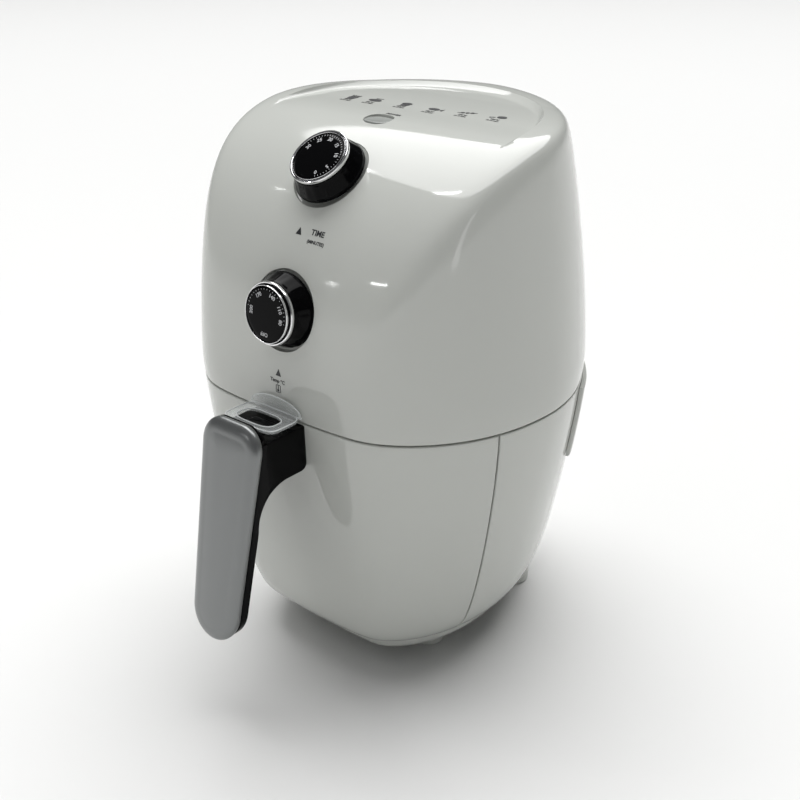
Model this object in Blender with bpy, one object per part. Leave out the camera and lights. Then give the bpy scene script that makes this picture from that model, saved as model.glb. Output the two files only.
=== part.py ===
"""Compact hot-air fryer with a pull-out basket drawer.

The housing is a barrel with a sloping front. A seam runs round it below the
control knobs, and below that seam the front is the face of the drawer. The
drawer carries a pan and a perforated basket, with the handle bolted to the
basket. Above the basket sit the heating element and a fan on a motor shaft.

All sizes are in metres, +Z is up, the front faces -Y, and the feet stand on
z = 0. Parts are modelled round the barrel's own axis and are moved together
by the "fryer" empty, so that the origin is below the middle of the fryer.
"""
import math

import bmesh
import bpy
import numpy as np
from mathutils import Matrix, Vector

# Overall sizes of the barrel.
HALF_WIDTH = 0.1064      # at the widest level
WIDEST_Z = 0.1659
DECK_HEIGHT = 0.2957     # top of the housing
UNDERSIDE_Z = 0.0108
FRONT_DEPTH = 0.0924     # from the axis to the front line
SIDE_FRONT_DEPTH = 0.1021
REAR_DEPTH = 0.1150
SEAM_Z = 0.1544          # level of the seam round the barrel
DOOR_Y = -0.0363         # where the drawer's side seams reach that level
DOOR_LEAN = 0.080        # and how far they lean back for each unit below it

# Curvature of the barrel.
TAPER_UP = 0.116
TAPER_UP_REAR = 0.217
TAPER_UP_POWER = 1.498
TAPER_DOWN = 0.350
TAPER_DOWN_REAR = -0.0235
TAPER_DOWN_FRONT = 0.178
TAPER_DOWN_POWER = 1.392
LOWER_SPAN = 0.1729
FRONT_ROUNDNESS = 2.179
REAR_ROUNDNESS = 1.774
CROWN_Y = 0.0524         # the front slope meets the level deck here
CROWN_Z = 0.1244
CROWN_ROUNDNESS = 2.915
DECK_RISE = 0.015
FRONT_BOW = 0.511
EDGE_BLEND = 0.0050
BOTTOM_BLEND = 0.0203

# Walls and the gaps between pieces.
WALL = 0.0025
SHEET = 0.0010
TOUCH = 0.0003           # pieces that rest on each other
PANEL_GAP = 0.0008       # seams that can be seen
SLIDE_GAP = 0.0030       # room round the drawer
TURN_GAP = 0.0006        # round what turns
CUT_REACH = 0.0120       # how far a cutter runs past the wall that it opens

# Base and feet.
SKIRT_Z = 0.0170         # lower edge of the housing
BASE_TAPER = 0.0040
BASE_RIM = 0.0030
FOOT_RADIUS = 0.0088
FOOT_CHAMFER = 0.0010
FOOT_X = 0.0420
FRONT_FOOT_Y = -0.0210
REAR_FOOT_Y = 0.0620

# Pan and basket.
PAN_FLOOR_Z = 0.0215
PAN_RIM_Z = 0.1430
PAN_SIDE_ROOM = 0.0165
PAN_FRONT_ROOM = 0.0120
PAN_REAR_ROOM = 0.0300
PAN_ROUNDNESS = 2.15
PAN_CORNER = 0.0120
COATED_SHEET = 0.0012
BASKET_CLEARANCE = 0.0035
BASKET_FLOOR_RISE = 0.0110
BASKET_RIM_ABOVE_PAN = 0.0035
SLOT_LENGTH = 0.0130
SLOT_WIDTH = 0.0035
SLOT_PITCH_X = 0.0150
SLOT_PITCH_Y = 0.0190
BASKET_EDGE = 0.0040      # unpierced edge round the floor
WALL_SLOTS = 5
WALL_SLOT_PITCH = 0.0200
WALL_SLOT_HEIGHT = 0.0300
WALL_SLOT_WIDTH = 0.0040
MOUNT_INNER_X = 0.0240
MOUNT_OUTER_X = 0.0360
MOUNT_LOW_Z = 0.0800
MOUNT_HIGH_Z = 0.1100

# Handle.
HANDLE_TOP_Z = 0.1600
HANDLE_BOTTOM_Z = 0.0440
HANDLE_TOP_HALF = 0.0210
HANDLE_BOTTOM_HALF = 0.0178
HANDLE_CORNER = 0.0130
HANDLE_FACE_Y = -0.1210   # edge of the cover at HANDLE_TOP_Z
HANDLE_LEAN = 0.200
COVER_BACK = 0.0020
COVER_DOME = 0.0040
COVER_EDGE = 0.0060
COVER_BACK_INSET = 0.0008
GRIP_HALF = 0.0190
GRIP_THICKNESS = 0.0080
GRIP_INSET = 0.0012        # the body stands this far inside the cover's outline
GRIP_BOTTOM_RISE = 0.0010
LIP_DROP = 0.0010          # raised lip between the cover and the handle's flat top
LIP_TOP = 0.0030
LIP_FOOT = 0.0045
NOTCH_GAP = 0.0006
ROOT_BOTTOM_Z = 0.1320
ROOT_BACK_INSET = 0.0010
NECK_LENGTH = 0.0180
DECK_Z = 0.1536           # flat top of the handle's root
BRACKET_HALF = 0.0150
BRACKET_THICKNESS = 0.0015

# Release button and its guard.
BUTTON_HALF = 0.0085
BUTTON_LENGTH = 0.0120
BUTTON_REAR_Y = -0.0985
BUTTON_PROUD = 0.0012
BUTTON_HEIGHT = 0.0060
BUTTON_TRAVEL = 0.0035
BUTTON_WELL = 0.0020       # room below the pressed button
SPRING_RADIUS = 0.0035
SPRING_WIRE = 0.0005
SPRING_TURNS = 3
GUARD_HALF = 0.0180
GUARD_THICKNESS = 0.0016
GUARD_RISE = 0.0030
GUARD_LENGTH = 0.0225
GUARD_ARCH_HEIGHT = 0.0120
GUARD_REAR_GAP = 0.0012

# Knobs, each turning on a line square to the front.
TIMER_KNOB_Z = SEAM_Z + 0.8294 * (DECK_HEIGHT - SEAM_Z)
TIMER_TILT = math.radians(50.3)
HEAT_KNOB_Z = SEAM_Z + 0.3892 * (DECK_HEIGHT - SEAM_Z)
HEAT_TILT = math.radians(6.2)
KNOB_BASE_RADIUS = 0.0200
KNOB_NECK_RADIUS = 0.0170
KNOB_FACE_RADIUS = 0.0163
KNOB_SEAT_RADIUS = KNOB_BASE_RADIUS + 0.0008  # flat seat moulded in the front behind each knob
KNOB_SEAT_DEPTH = 0.0055
KNOB_STANDOFF = 0.0008
HEAT_KNOB_SINK = 0.0025    # the lower knob's seat lies this far below the front
KNOB_HEIGHT = 0.0092
KNOB_RING_WIDTH = 0.0018
KNOB_RING_HEIGHT = 0.0022
KNOB_EDGE = 0.0015
KNOB_ROUND = 0.0008
KNOB_AXIS_HOLE = 0.0010    # small flat at the middle of a turned end
DIAL_THICKNESS = 0.0012
DIAL_CROWN = 0.0006
SHAFT_RADIUS = 0.0030
SHAFT_IN_KNOB = 0.0060
CONTROL_SETBACK = 0.0065
TIMER_RADIUS = 0.0190
TIMER_DEPTH = 0.0220
BELL_RADIUS = 0.0130
BELL_DEPTH = 0.0060
THERMOSTAT_RADIUS = 0.0150
THERMOSTAT_DEPTH = 0.0150
CASE_CHAMFER = 0.0020      # on the timer and the thermostat

# Heating chamber.
LINER_TOP_BELOW_SEAM = 0.0020
HEAT_DECK_RISE = 0.0030
HEAT_DECK_SHEET = 0.0012
HEAT_DECK_INSET = 0.0080
HEATER_OPENING = 0.0640
ELEMENT_Z_ABOVE_DECK = 0.0070
ELEMENT_TUBE = 0.0032
ELEMENT_OUTER = 0.0560
ELEMENT_PITCH = 0.0120
ELEMENT_TURNS = 2
DOME_RADIUS = 0.0700
DOME_HEIGHT = 0.0340
DOME_FLANGE = 0.0060
DOME_CORNER = 0.0100
HUB_HOLE = 0.0045
FAN_RADIUS = 0.0460
FAN_HEIGHT = 0.0090
FAN_BLADES = 8
FAN_BELOW_DOME = 0.0040
MOTOR_SHAFT_RADIUS = 0.0025
MOTOR_PLATE_THICKNESS = 0.0020
MOTOR_PLATE_HALF = 0.0300
MOTOR_RADIUS = 0.0240
MOTOR_HEIGHT = 0.0280
MOTOR_SHOULDER = 0.0040
MOTOR_TO_COOLING = 0.0040
COOLING_RADIUS = 0.0250
COOLING_HEIGHT = 0.0070
COOLING_BLADES = 6
FAN_DISC = 0.0010
FAN_HUB_WALL = 0.0040
BLADE_HALF = 0.0006
BLADE_INSET = 0.0010
SHAFT_END = 0.0020

# Air outlet, mains inlet, indicator and switch.
OUTLET_TOP_BELOW_SEAM = 0.0030
OUTLET_HEIGHT = 0.0420
OUTLET_HALF_ANGLE = math.radians(66.0)
OUTLET_PROUD = 0.0022
VENT_COUNT = 7
VENT_WIDTH = 0.0035
VENT_PITCH = 0.0085
VENT_HEIGHT = 0.0260
INLET_Z = 0.0420
INLET_RADIUS = 0.0070
INLET_BORE = 0.0035
INLET_LENGTH = 0.0110
INLET_PROUD = 0.0035
INLET_LIP = 0.0015
LENS_X = -0.0030
LENS_Y = -0.0070
LENS_HALF_X = 0.0092
LENS_HALF_Y = 0.0066
LENS_THICKNESS = 0.0022
LENS_SINK = 0.0004
LAMP_GAP = 0.0020
LAMP_RADIUS = 0.0030
LAMP_LENGTH = 0.0140
LAMP_TIP = 0.0020
SWITCH_X = 0.0600
SWITCH_Y = -0.0600
SWITCH_HALF = (0.0060, 0.0100, 0.0050)
FUSE_RADIUS = 0.0020
FUSE_LENGTH = 0.0160
FUSE_SETBACK = 0.0100      # behind the motor plate

RING_POINTS = 36

OUTLET_DEPTH = OUTLET_PROUD + TOUCH
HANDLE_DROP = HANDLE_TOP_Z - HANDLE_BOTTOM_Z - COVER_EDGE
HANDLE_FRONT_Y = HANDLE_FACE_Y - HANDLE_LEAN * HANDLE_DROP - COVER_DOME
FRYER_Y = -0.5 * (HANDLE_FRONT_Y + REAR_DEPTH + OUTLET_DEPTH)


# ---------------------------------------------------------------- barrel shape
def blend_max(a, b, width):
    """Return the larger of a and b, rounded where they meet."""
    return 0.5 * (a + b + np.sqrt((a - b) ** 2 + width * width))


def barrel_field(x, y, z):
    """Return about how far a point lies outside the barrel's skin."""
    up = np.clip((z - WIDEST_Z) / (DECK_HEIGHT - WIDEST_Z), 0, 1.3) ** TAPER_UP_POWER
    down = np.clip((WIDEST_Z - z) / LOWER_SPAN, 0, 1) ** TAPER_DOWN_POWER
    half_width = HALF_WIDTH * (1 - TAPER_UP * up - TAPER_DOWN * down)
    rear = REAR_DEPTH * (1 - TAPER_UP_REAR * up - TAPER_DOWN_REAR * down)
    front = SIDE_FRONT_DEPTH * (1 - TAPER_UP * up - TAPER_DOWN_FRONT * down)
    depth = np.where(y < 0, front, rear)
    power = np.where(y < 0, FRONT_ROUNDNESS, REAR_ROUNDNESS)
    plan = (np.abs(x) / half_width) ** power + (np.abs(y) / depth) ** power
    side = (plan ** (1 / power) - 1) * 0.100
    bowed_y = y - FRONT_BOW * x * x
    reach = CROWN_Y + FRONT_DEPTH * (1 - TAPER_DOWN_FRONT * down)
    forward = np.clip((CROWN_Y - bowed_y) / reach, 0, None)
    height = np.clip((z - CROWN_Z) / (DECK_HEIGHT - CROWN_Z), 0, None)
    slope = forward ** CROWN_ROUNDNESS + height ** CROWN_ROUNDNESS
    front_face = (slope ** (1 / CROWN_ROUNDNESS) - 1) * 0.120
    deck = (height - 1) * 0.120 - DECK_RISE * (bowed_y - CROWN_Y)
    cap = np.where(bowed_y > CROWN_Y, deck, front_face)
    return blend_max(blend_max(side, cap, EDGE_BLEND), UNDERSIDE_Z - z, BOTTOM_BLEND)


def barrel_point(origin, direction, inset=0.0):
    """Return where rays from the origin meet the skin moved inwards by inset."""
    origin = np.asarray(origin, float)
    direction = np.asarray(direction, float)
    near = np.zeros(direction.shape[:-1])
    far = near + 0.35
    for _ in range(26):
        middle = 0.5 * (near + far)
        point = origin + middle[..., None] * direction
        inside = barrel_field(point[..., 0], point[..., 1], point[..., 2]) < -inset
        near = np.where(inside, middle, near)
        far = np.where(inside, far, middle)
    return origin + near[..., None] * direction


def barrel_ring(angles, z, inset=0.0):
    """Return the level section at height z, in the given directions."""
    flat = np.stack([np.cos(angles), np.sin(angles), 0 * angles], axis=-1)
    return barrel_point((0, 0, z), flat, inset)


def barrel_front_y(z, inset=0.0):
    """Return the y of the front line at height z."""
    return float(barrel_point((0, 0, z), (0, -1, 0), inset)[1])


def barrel_rear_y(z, inset=0.0):
    """Return the y of the rear line at height z."""
    return float(barrel_point((0, 0, z), (0, 1, 0), inset)[1])


def barrel_side_x(z, inset=0.0):
    """Return the half width of the barrel at height z."""
    return float(barrel_point((0, 0, z), (1, 0, 0), inset)[0])


def door_angle(z, set_back):
    """Return the direction of the drawer's side seam at height z, moved back by set_back."""
    seam_y = DOOR_Y + DOOR_LEAN * (SEAM_Z - z) + set_back
    low, high = -math.pi / 2, 0.6
    for _ in range(40):
        middle = 0.5 * (low + high)
        y = barrel_ring(np.array([middle]), z)[0, 1]
        low, high = (middle, high) if y < seam_y else (low, middle)
    return 0.5 * (low + high)


def full_turn(count=RING_POINTS):
    """Return evenly spaced directions round a full turn."""
    return np.linspace(0, 2 * math.pi, count, endpoint=False)


def oval(half_x, half_y, roundness, centre_y, z, count=RING_POINTS):
    """Return a level superellipse."""
    angle = full_turn(count)
    cos, sin = np.cos(angle), np.sin(angle)
    power = 2 / roundness
    x = half_x * np.sign(cos) * np.abs(cos) ** power
    y = centre_y + half_y * np.sign(sin) * np.abs(sin) ** power
    return np.stack([x, y, np.full(count, z)], axis=-1)


# ---------------------------------------------------------------- mesh helpers
def make_material(name, colour, roughness, metallic=0.0, alpha=1.0):
    """Return a plain Principled material."""
    material = bpy.data.materials.new(name)
    material.use_nodes = True
    shader = material.node_tree.nodes["Principled BSDF"]
    shader.inputs["Base Color"].default_value = (*colour, 1.0)
    shader.inputs["Roughness"].default_value = roughness
    shader.inputs["Metallic"].default_value = metallic
    shader.inputs["Alpha"].default_value = alpha
    return material


def finish_object(name, bm, material, smooth=True):
    """Turn a bmesh into a named object under the fryer empty."""
    bmesh.ops.recalc_face_normals(bm, faces=bm.faces)
    mesh = bpy.data.meshes.new(name)
    bm.to_mesh(mesh)
    bm.free()
    if smooth:
        mesh.shade_smooth()
        mesh.set_sharp_from_angle(angle=math.radians(35))
    mesh.materials.append(material)
    item = bpy.data.objects.new(name, mesh)
    bpy.context.collection.objects.link(item)
    item.parent = bpy.data.objects["fryer"]
    return item


def place(item, matrix):
    """Put an object's origin at the matrix, leaving its shape where it is drawn."""
    item.data.transform(matrix.inverted())
    item.matrix_local = matrix
    return item


def loft(name, rings, material, closed=False, smooth=True):
    """Skin a list of rings; end rings are capped unless the loft is closed on itself."""
    bm = bmesh.new()
    rows = [[bm.verts.new(point) for point in ring] for ring in rings]
    pairs = list(zip(rows, rows[1:]))
    if closed:
        pairs.append((rows[-1], rows[0]))
    for lower, upper in pairs:
        count = len(lower)
        for i in range(count):
            j = (i + 1) % count
            bm.faces.new((lower[i], lower[j], upper[j], upper[i]))
    if not closed:
        bm.faces.new(list(reversed(rows[0])))
        bm.faces.new(rows[-1])
    return finish_object(name, bm, material, smooth)


def sheet(name, outer, inner, material):
    """Join an outer and an inner grid of points into one open-edged wall."""
    bm = bmesh.new()
    skins = [[[bm.verts.new(p) for p in row] for row in grid] for grid in (outer, inner)]
    rows, columns = len(outer), len(outer[0])
    for skin in skins:
        for r in range(rows - 1):
            for c in range(columns - 1):
                bm.faces.new((skin[r][c], skin[r][c + 1], skin[r + 1][c + 1], skin[r + 1][c]))
    front, back = skins
    rim = [(0, c) for c in range(columns)]
    rim += [(r, columns - 1) for r in range(1, rows)]
    rim += [(rows - 1, c) for c in range(columns - 2, -1, -1)]
    rim += [(r, 0) for r in range(rows - 2, 0, -1)]
    for (r0, c0), (r1, c1) in zip(rim, rim[1:] + rim[:1]):
        bm.faces.new((front[r0][c0], front[r1][c1], back[r1][c1], back[r0][c0]))
    return finish_object(name, bm, material)


def turned(name, profile, frame, material, bore=False, count=24):
    """Turn (radius, height) points about the frame's Z axis."""
    angle = full_turn(count)
    rings = []
    for radius, height in profile:
        ring = [frame @ Vector((radius * math.cos(a), radius * math.sin(a), height)) for a in angle]
        rings.append(ring)
    return loft(name, rings, material, closed=bore)


def box(name, low, high, material, bevel=0.0):
    """Make a block between two corners, with its edges bevelled."""
    bm = bmesh.new()
    bmesh.ops.create_cube(bm, size=1.0)
    low, high = Vector(low), Vector(high)
    size = high - low
    for vert in bm.verts:
        vert.co = Vector([low[i] + (vert.co[i] + 0.5) * size[i] for i in range(3)])
    if bevel:
        bmesh.ops.bevel(bm, geom=bm.edges[:], offset=bevel, segments=1, affect="EDGES")
    return finish_object(name, bm, material, smooth=False)


def blocks(name, corners, material):
    """Make several separate blocks as one object, for cutting a pattern of holes."""
    bm = bmesh.new()
    for low, high in corners:
        low, high = Vector(low), Vector(high)
        grown = bmesh.ops.create_cube(bm, size=1.0)
        for vert in grown["verts"]:
            vert.co = Vector([low[i] + (vert.co[i] + 0.5) * (high[i] - low[i]) for i in range(3)])
    return finish_object(name, bm, material, smooth=False)


def side_prism(name, outline, half_width, material, bevel=0.0):
    """Extrude a (y, z) outline sideways by half_width each way."""
    bm = bmesh.new()
    face = bm.faces.new([bm.verts.new((-half_width, y, z)) for y, z in outline])
    grown = bmesh.ops.extrude_face_region(bm, geom=[face])
    moved = [v for v in grown["geom"] if isinstance(v, bmesh.types.BMVert)]
    bmesh.ops.translate(bm, verts=moved, vec=(2 * half_width, 0, 0))
    if bevel:
        bmesh.ops.bevel(bm, geom=bm.edges[:], offset=bevel, segments=1, affect="EDGES")
    return finish_object(name, bm, material, smooth=False)


def combine(target, other, operation):
    """Apply another object to the target with an exact Boolean, hiding the other."""
    other.hide_render = True
    other.display_type = "WIRE"
    modifier = target.modifiers.new(other.name, "BOOLEAN")
    modifier.operation = operation
    modifier.solver = "EXACT"
    modifier.object = other


def cut(target, cutter):
    """Take the cutter away from the target."""
    combine(target, cutter, "DIFFERENCE")


def arc(centre, radius, start, end, steps):
    """Return points on an arc from start to end, in degrees."""
    angles = np.radians(np.linspace(start, end, steps + 1))
    return [(centre[0] + radius * math.cos(a), centre[1] + radius * math.sin(a)) for a in angles]


# ---------------------------------------------------------------- housing
def barrel_columns(z, set_back, front, count):
    """Return directions round the front or the rear of the barrel between the door seams."""
    start = door_angle(z, set_back)
    if front:
        return np.linspace(-math.pi - start, start, count)
    return np.linspace(start, math.pi - start, count)


def build_upper_housing(white):
    """The dome above the seam, open below."""
    low_z = SEAM_Z + PANEL_GAP / 2
    around = full_turn()
    rise = np.radians([0, 9, 18, 27, 36, 44, 50, 56, 62, 70, 79, 86])

    def shell(inset):
        """Return rings from the rim to the middle of the deck."""
        rings = []
        for angle in rise:
            flat = math.cos(angle)
            rays = np.stack([flat * np.cos(around), flat * np.sin(around),
                             np.full(len(around), math.sin(angle))], axis=-1)
            rings.append(barrel_point((0, 0, low_z), rays, inset))
        return rings

    housing = loft("upper_housing", shell(WALL)[::-1] + shell(0.0), white)
    for label, height, tilt, sink in knob_places():
        frame = knob_frame(height, tilt, sink)
        seat = turned(f"{label}_seat", [(KNOB_SEAT_RADIUS, -KNOB_SEAT_DEPTH), (KNOB_SEAT_RADIUS, 0)],
                      frame, white, count=32)
        combine(housing, seat, "UNION")
        recess_radius = KNOB_SEAT_RADIUS + TURN_GAP
        recess = turned(f"{label}_recess", [(recess_radius, 0), (recess_radius, 2 * CUT_REACH)],
                        frame, white, count=32)
        cut(housing, recess)
        hole = turned(f"{label}_shaft_hole", [(SHAFT_RADIUS + 2 * TURN_GAP, -CUT_REACH),
                                              (SHAFT_RADIUS + 2 * TURN_GAP, CUT_REACH)], frame, white)
        cut(housing, hole)
    lens_z = float(barrel_point((LENS_X, LENS_Y, SEAM_Z), (0, 0, 1))[2])
    window = loft("indicator_window", lens_rings(lens_z - CUT_REACH, lens_z + CUT_REACH, TOUCH), white)
    cut(housing, window)
    return housing


def lens_rings(low_z, high_z, grow):
    """Return the two rings of the oval indicator window."""
    rings = []
    for z in (low_z, high_z):
        ring = oval(LENS_HALF_X + grow, LENS_HALF_Y + grow, 2.3, LENS_Y, z, 20)
        ring[:, 0] += LENS_X
        rings.append(ring)
    return rings


def skirt_levels():
    """Return the levels of the wall between the skirt and the seam."""
    top = SEAM_Z - PANEL_GAP / 2
    return [SKIRT_Z + (top - SKIRT_Z) * share for share in (0, 0.03, 0.08, 0.2, 0.4, 0.65, 1)]


def build_lower_housing(white):
    """The wall round the sides and rear below the seam, with the air and mains openings."""
    levels = skirt_levels()
    outer = [barrel_ring(barrel_columns(z, PANEL_GAP / 2, False, 29), z) for z in levels]
    inner = [barrel_ring(barrel_columns(z, PANEL_GAP / 2, False, 29), z, WALL) for z in levels]
    housing = sheet("lower_housing", outer, inner, white)
    top = SEAM_Z - OUTLET_TOP_BELOW_SEAM
    middle = top - OUTLET_HEIGHT / 2
    reach = vent_field_half() + VENT_WIDTH
    rear = barrel_rear_y(middle)
    duct = box("air_duct_opening", (-reach, rear - 2 * CUT_REACH, middle - VENT_HEIGHT / 2 - VENT_WIDTH),
               (reach, rear + 2 * CUT_REACH, middle + VENT_HEIGHT / 2 + VENT_WIDTH), white)
    cut(housing, duct)
    hole = turned("mains_opening", [(INLET_RADIUS + TOUCH, -CUT_REACH), (INLET_RADIUS + TOUCH, CUT_REACH)],
                  inlet_frame(), white)
    cut(housing, hole)
    return housing


def vent_field_half():
    """Return half the width that the row of vents covers."""
    return VENT_PITCH * (VENT_COUNT - 1) / 2 + VENT_WIDTH / 2


def build_outlet_cover(white):
    """The curved cover over the rear air outlet, with upright slots."""
    top = SEAM_Z - OUTLET_TOP_BELOW_SEAM
    levels = [top - OUTLET_HEIGHT * share for share in (1, 0.66, 0.33, 0)]
    angles = np.linspace(math.pi / 2 - OUTLET_HALF_ANGLE, math.pi / 2 + OUTLET_HALF_ANGLE, 23)
    outer = [barrel_ring(angles, z, -OUTLET_DEPTH) for z in levels]
    inner = [barrel_ring(angles, z, -TOUCH) for z in levels]
    cover = sheet("rear_air_outlet", outer, inner, white)
    middle = top - OUTLET_HEIGHT / 2
    rear = barrel_rear_y(middle)
    slots = []
    for i in range(VENT_COUNT):
        x = (i - (VENT_COUNT - 1) / 2) * VENT_PITCH
        slots.append(((x - VENT_WIDTH / 2, rear - CUT_REACH, middle - VENT_HEIGHT / 2),
                      (x + VENT_WIDTH / 2, rear + CUT_REACH, middle + VENT_HEIGHT / 2)))
    cut(cover, blocks("outlet_slots", slots, white))


def inlet_frame():
    """Return the frame of the mains inlet, with Z pointing out of the rear."""
    rear = barrel_rear_y(INLET_Z)
    return Matrix.Translation((0, rear, INLET_Z)) @ Matrix.Rotation(math.radians(-90), 4, "X")


def build_mains_inlet(black):
    """The collar that a mains lead passes through."""
    inside = INLET_PROUD - INLET_LENGTH
    lip = INLET_RADIUS + INLET_LIP
    profile = [(INLET_BORE, inside), (INLET_RADIUS, inside), (INLET_RADIUS, 2 * TOUCH),
               (lip, 2 * TOUCH), (lip, INLET_PROUD), (INLET_BORE, INLET_PROUD)]
    turned("mains_inlet_collar", profile, inlet_frame(), black, bore=True, count=20)


def build_base(white, rubber):
    """The floor of the housing and its four feet."""
    around = full_turn()
    outline = barrel_ring(around, SKIRT_Z)
    centre = outline.mean(axis=0)
    top, middle, bottom = outline.copy(), outline.copy(), outline.copy()
    spread = outline - centre
    spread /= np.linalg.norm(spread, axis=1)[:, None]
    bottom -= spread * BASE_TAPER
    top[:, 2] = SKIRT_Z - TOUCH
    middle[:, 2] = SKIRT_Z - BASE_RIM
    bottom[:, 2] = UNDERSIDE_Z
    loft("base_plate", [bottom, middle, top], white)
    places = {"foot_front_right": (FOOT_X, FRONT_FOOT_Y), "foot_front_left": (-FOOT_X, FRONT_FOOT_Y),
              "foot_rear_right": (FOOT_X, REAR_FOOT_Y), "foot_rear_left": (-FOOT_X, REAR_FOOT_Y)}
    for name, (x, y) in places.items():
        profile = [(FOOT_RADIUS - FOOT_CHAMFER, 0), (FOOT_RADIUS, FOOT_CHAMFER),
                   (FOOT_RADIUS, UNDERSIDE_Z - TOUCH)]
        turned(name, profile, Matrix.Translation((x, y, 0)), rubber, count=20)


# ---------------------------------------------------------------- drawer
def pan_oval(z, grow=0.0, forward=0.0):
    """Return half sizes and centre of the pan's outside at height z, linear from floor to rim."""
    share = (z - PAN_FLOOR_Z) / (PAN_RIM_Z - PAN_FLOOR_Z)
    ends = []
    for level in (PAN_FLOOR_Z, PAN_RIM_Z):
        side = barrel_side_x(level) - PAN_SIDE_ROOM
        front = barrel_front_y(level) + PAN_FRONT_ROOM
        rear = barrel_rear_y(level) - PAN_REAR_ROOM
        ends.append((side, 0.5 * (rear - front), 0.5 * (rear + front)))
    side, depth, centre = [low + share * (high - low) for low, high in zip(*ends)]
    return side + grow, depth + grow, centre - forward


def bowl(name, floor_z, rim_z, grow, thickness, material):
    """Make an open-topped bowl that follows the pan's shape."""
    def ring(z, shrink):
        side, depth, centre = pan_oval(z, grow - shrink)
        return oval(side, depth, PAN_ROUNDNESS, centre, z)

    corner = PAN_CORNER
    outer = [ring(floor_z, corner)]
    inner = [ring(floor_z + thickness, corner)]
    for angle in (30, 60, 90):
        turn = math.radians(angle)
        lift = corner * (1 - math.cos(turn))
        shrink = corner * (1 - math.sin(turn))
        outer.append(ring(floor_z + lift, shrink))
        inner.append(ring(floor_z + thickness + lift, shrink + thickness))
    outer.append(ring(rim_z, 0))
    inner.append(ring(rim_z, thickness))
    return loft(name, inner + outer[::-1], material)


def build_pan(grey):
    """The pan that catches the fat."""
    pan = bowl("pan", PAN_FLOOR_Z, PAN_RIM_Z, 0.0, COATED_SHEET, grey)
    return pan


def basket_floor_z():
    """Return the underside of the basket."""
    return PAN_FLOOR_Z + BASKET_FLOOR_RISE


def build_basket(grey):
    """The perforated basket inside the pan."""
    rim_z = PAN_RIM_Z + BASKET_RIM_ABOVE_PAN
    floor_z = basket_floor_z()
    basket = bowl("basket", floor_z, rim_z, -BASKET_CLEARANCE - COATED_SHEET, COATED_SHEET, grey)
    side, depth, centre = pan_oval(floor_z, -BASKET_CLEARANCE - PAN_CORNER - BASKET_EDGE)
    columns = int(side // SLOT_PITCH_X)
    rows = int(depth // SLOT_PITCH_Y)
    slots = []
    for i in range(-columns, columns + 1):
        for j in range(-rows, rows + 1):
            x, y = i * SLOT_PITCH_X, centre + j * SLOT_PITCH_Y
            across = (abs(x) + SLOT_WIDTH / 2) / side
            along = (abs(y - centre) + SLOT_LENGTH / 2) / depth
            if across ** 2 + along ** 2 < 1.0:
                slots.append(((x - SLOT_WIDTH / 2, y - SLOT_LENGTH / 2, floor_z - 2 * COATED_SHEET),
                              (x + SLOT_WIDTH / 2, y + SLOT_LENGTH / 2, floor_z + 2 * COATED_SHEET)))
    middle = 0.5 * (floor_z + rim_z)
    for i in range(WALL_SLOTS):
        x = (i - (WALL_SLOTS - 1) / 2) * WALL_SLOT_PITCH
        slots.append(((x - WALL_SLOT_WIDTH / 2, centre, middle - WALL_SLOT_HEIGHT / 2),
                      (x + WALL_SLOT_WIDTH / 2, centre + REAR_DEPTH, middle + WALL_SLOT_HEIGHT / 2)))
    cut(basket, blocks("basket_slots", slots, grey))
    return basket


def build_drawer_front(white):
    """The curved face of the drawer, notched at the top for the handle's root."""
    levels = skirt_levels()
    levels[0] += PANEL_GAP
    outer = [barrel_ring(barrel_columns(z, -PANEL_GAP / 2, True, 25), z) for z in levels]
    inner = [barrel_ring(barrel_columns(z, -PANEL_GAP / 2, True, 25), z, WALL) for z in levels]
    front = sheet("drawer_front", outer, inner, white)
    face_y = barrel_front_y(SEAM_Z)
    notch = box("handle_notch", (-GRIP_HALF - NOTCH_GAP, face_y - 2 * CUT_REACH, ROOT_BOTTOM_Z - NOTCH_GAP),
                (GRIP_HALF + NOTCH_GAP, face_y + 2 * CUT_REACH, SEAM_Z + CUT_REACH), white)
    cut(front, notch)
    return front


def build_pan_mounts(black):
    """Two blocks that carry the drawer face on the pan."""
    z_low, z_high = MOUNT_LOW_Z, MOUNT_HIGH_Z
    for name, sign in (("pan_mount_right", 1), ("pan_mount_left", -1)):
        x_near, x_far = sorted((sign * MOUNT_INNER_X, sign * MOUNT_OUTER_X))
        skin = max(barrel_point((x, 0, z), (0, -1, 0), WALL)[1]
                   for x in (x_near, x_far) for z in (z_low, z_high)) + TOUCH
        reach = []
        for z in (z_low, z_high):
            side, depth, centre = pan_oval(z)
            x = min(abs(x_near), abs(x_far))
            reach.append(centre - depth * (1 - (x / side) ** PAN_ROUNDNESS) ** (1 / PAN_ROUNDNESS))
        rear = min(reach) - TOUCH
        box(name, (x_near, skin, z_low), (x_far, rear, z_high), black)


# ---------------------------------------------------------------- handle
def cover_plane_y(z):
    """Return the y of the handle cover's edge at height z."""
    return HANDLE_FACE_Y - HANDLE_LEAN * (HANDLE_TOP_Z - z)


def handle_outline(inset=0.0):
    """Return (x, z) points round the handle: rounded top corners and a full round bottom."""
    corner = HANDLE_CORNER - inset
    top_half, low_half = HANDLE_TOP_HALF - inset, HANDLE_BOTTOM_HALF - inset
    top_z = HANDLE_TOP_Z - inset
    low_z = HANDLE_BOTTOM_Z + HANDLE_BOTTOM_HALF
    right = arc((top_half - corner, top_z - corner), corner, 90, 0, 4)
    left = arc((-top_half + corner, top_z - corner), corner, 180, 90, 4)
    bottom = arc((0, low_z), low_half, 0, -180, 10)
    return right + bottom + left[:-1]


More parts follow.
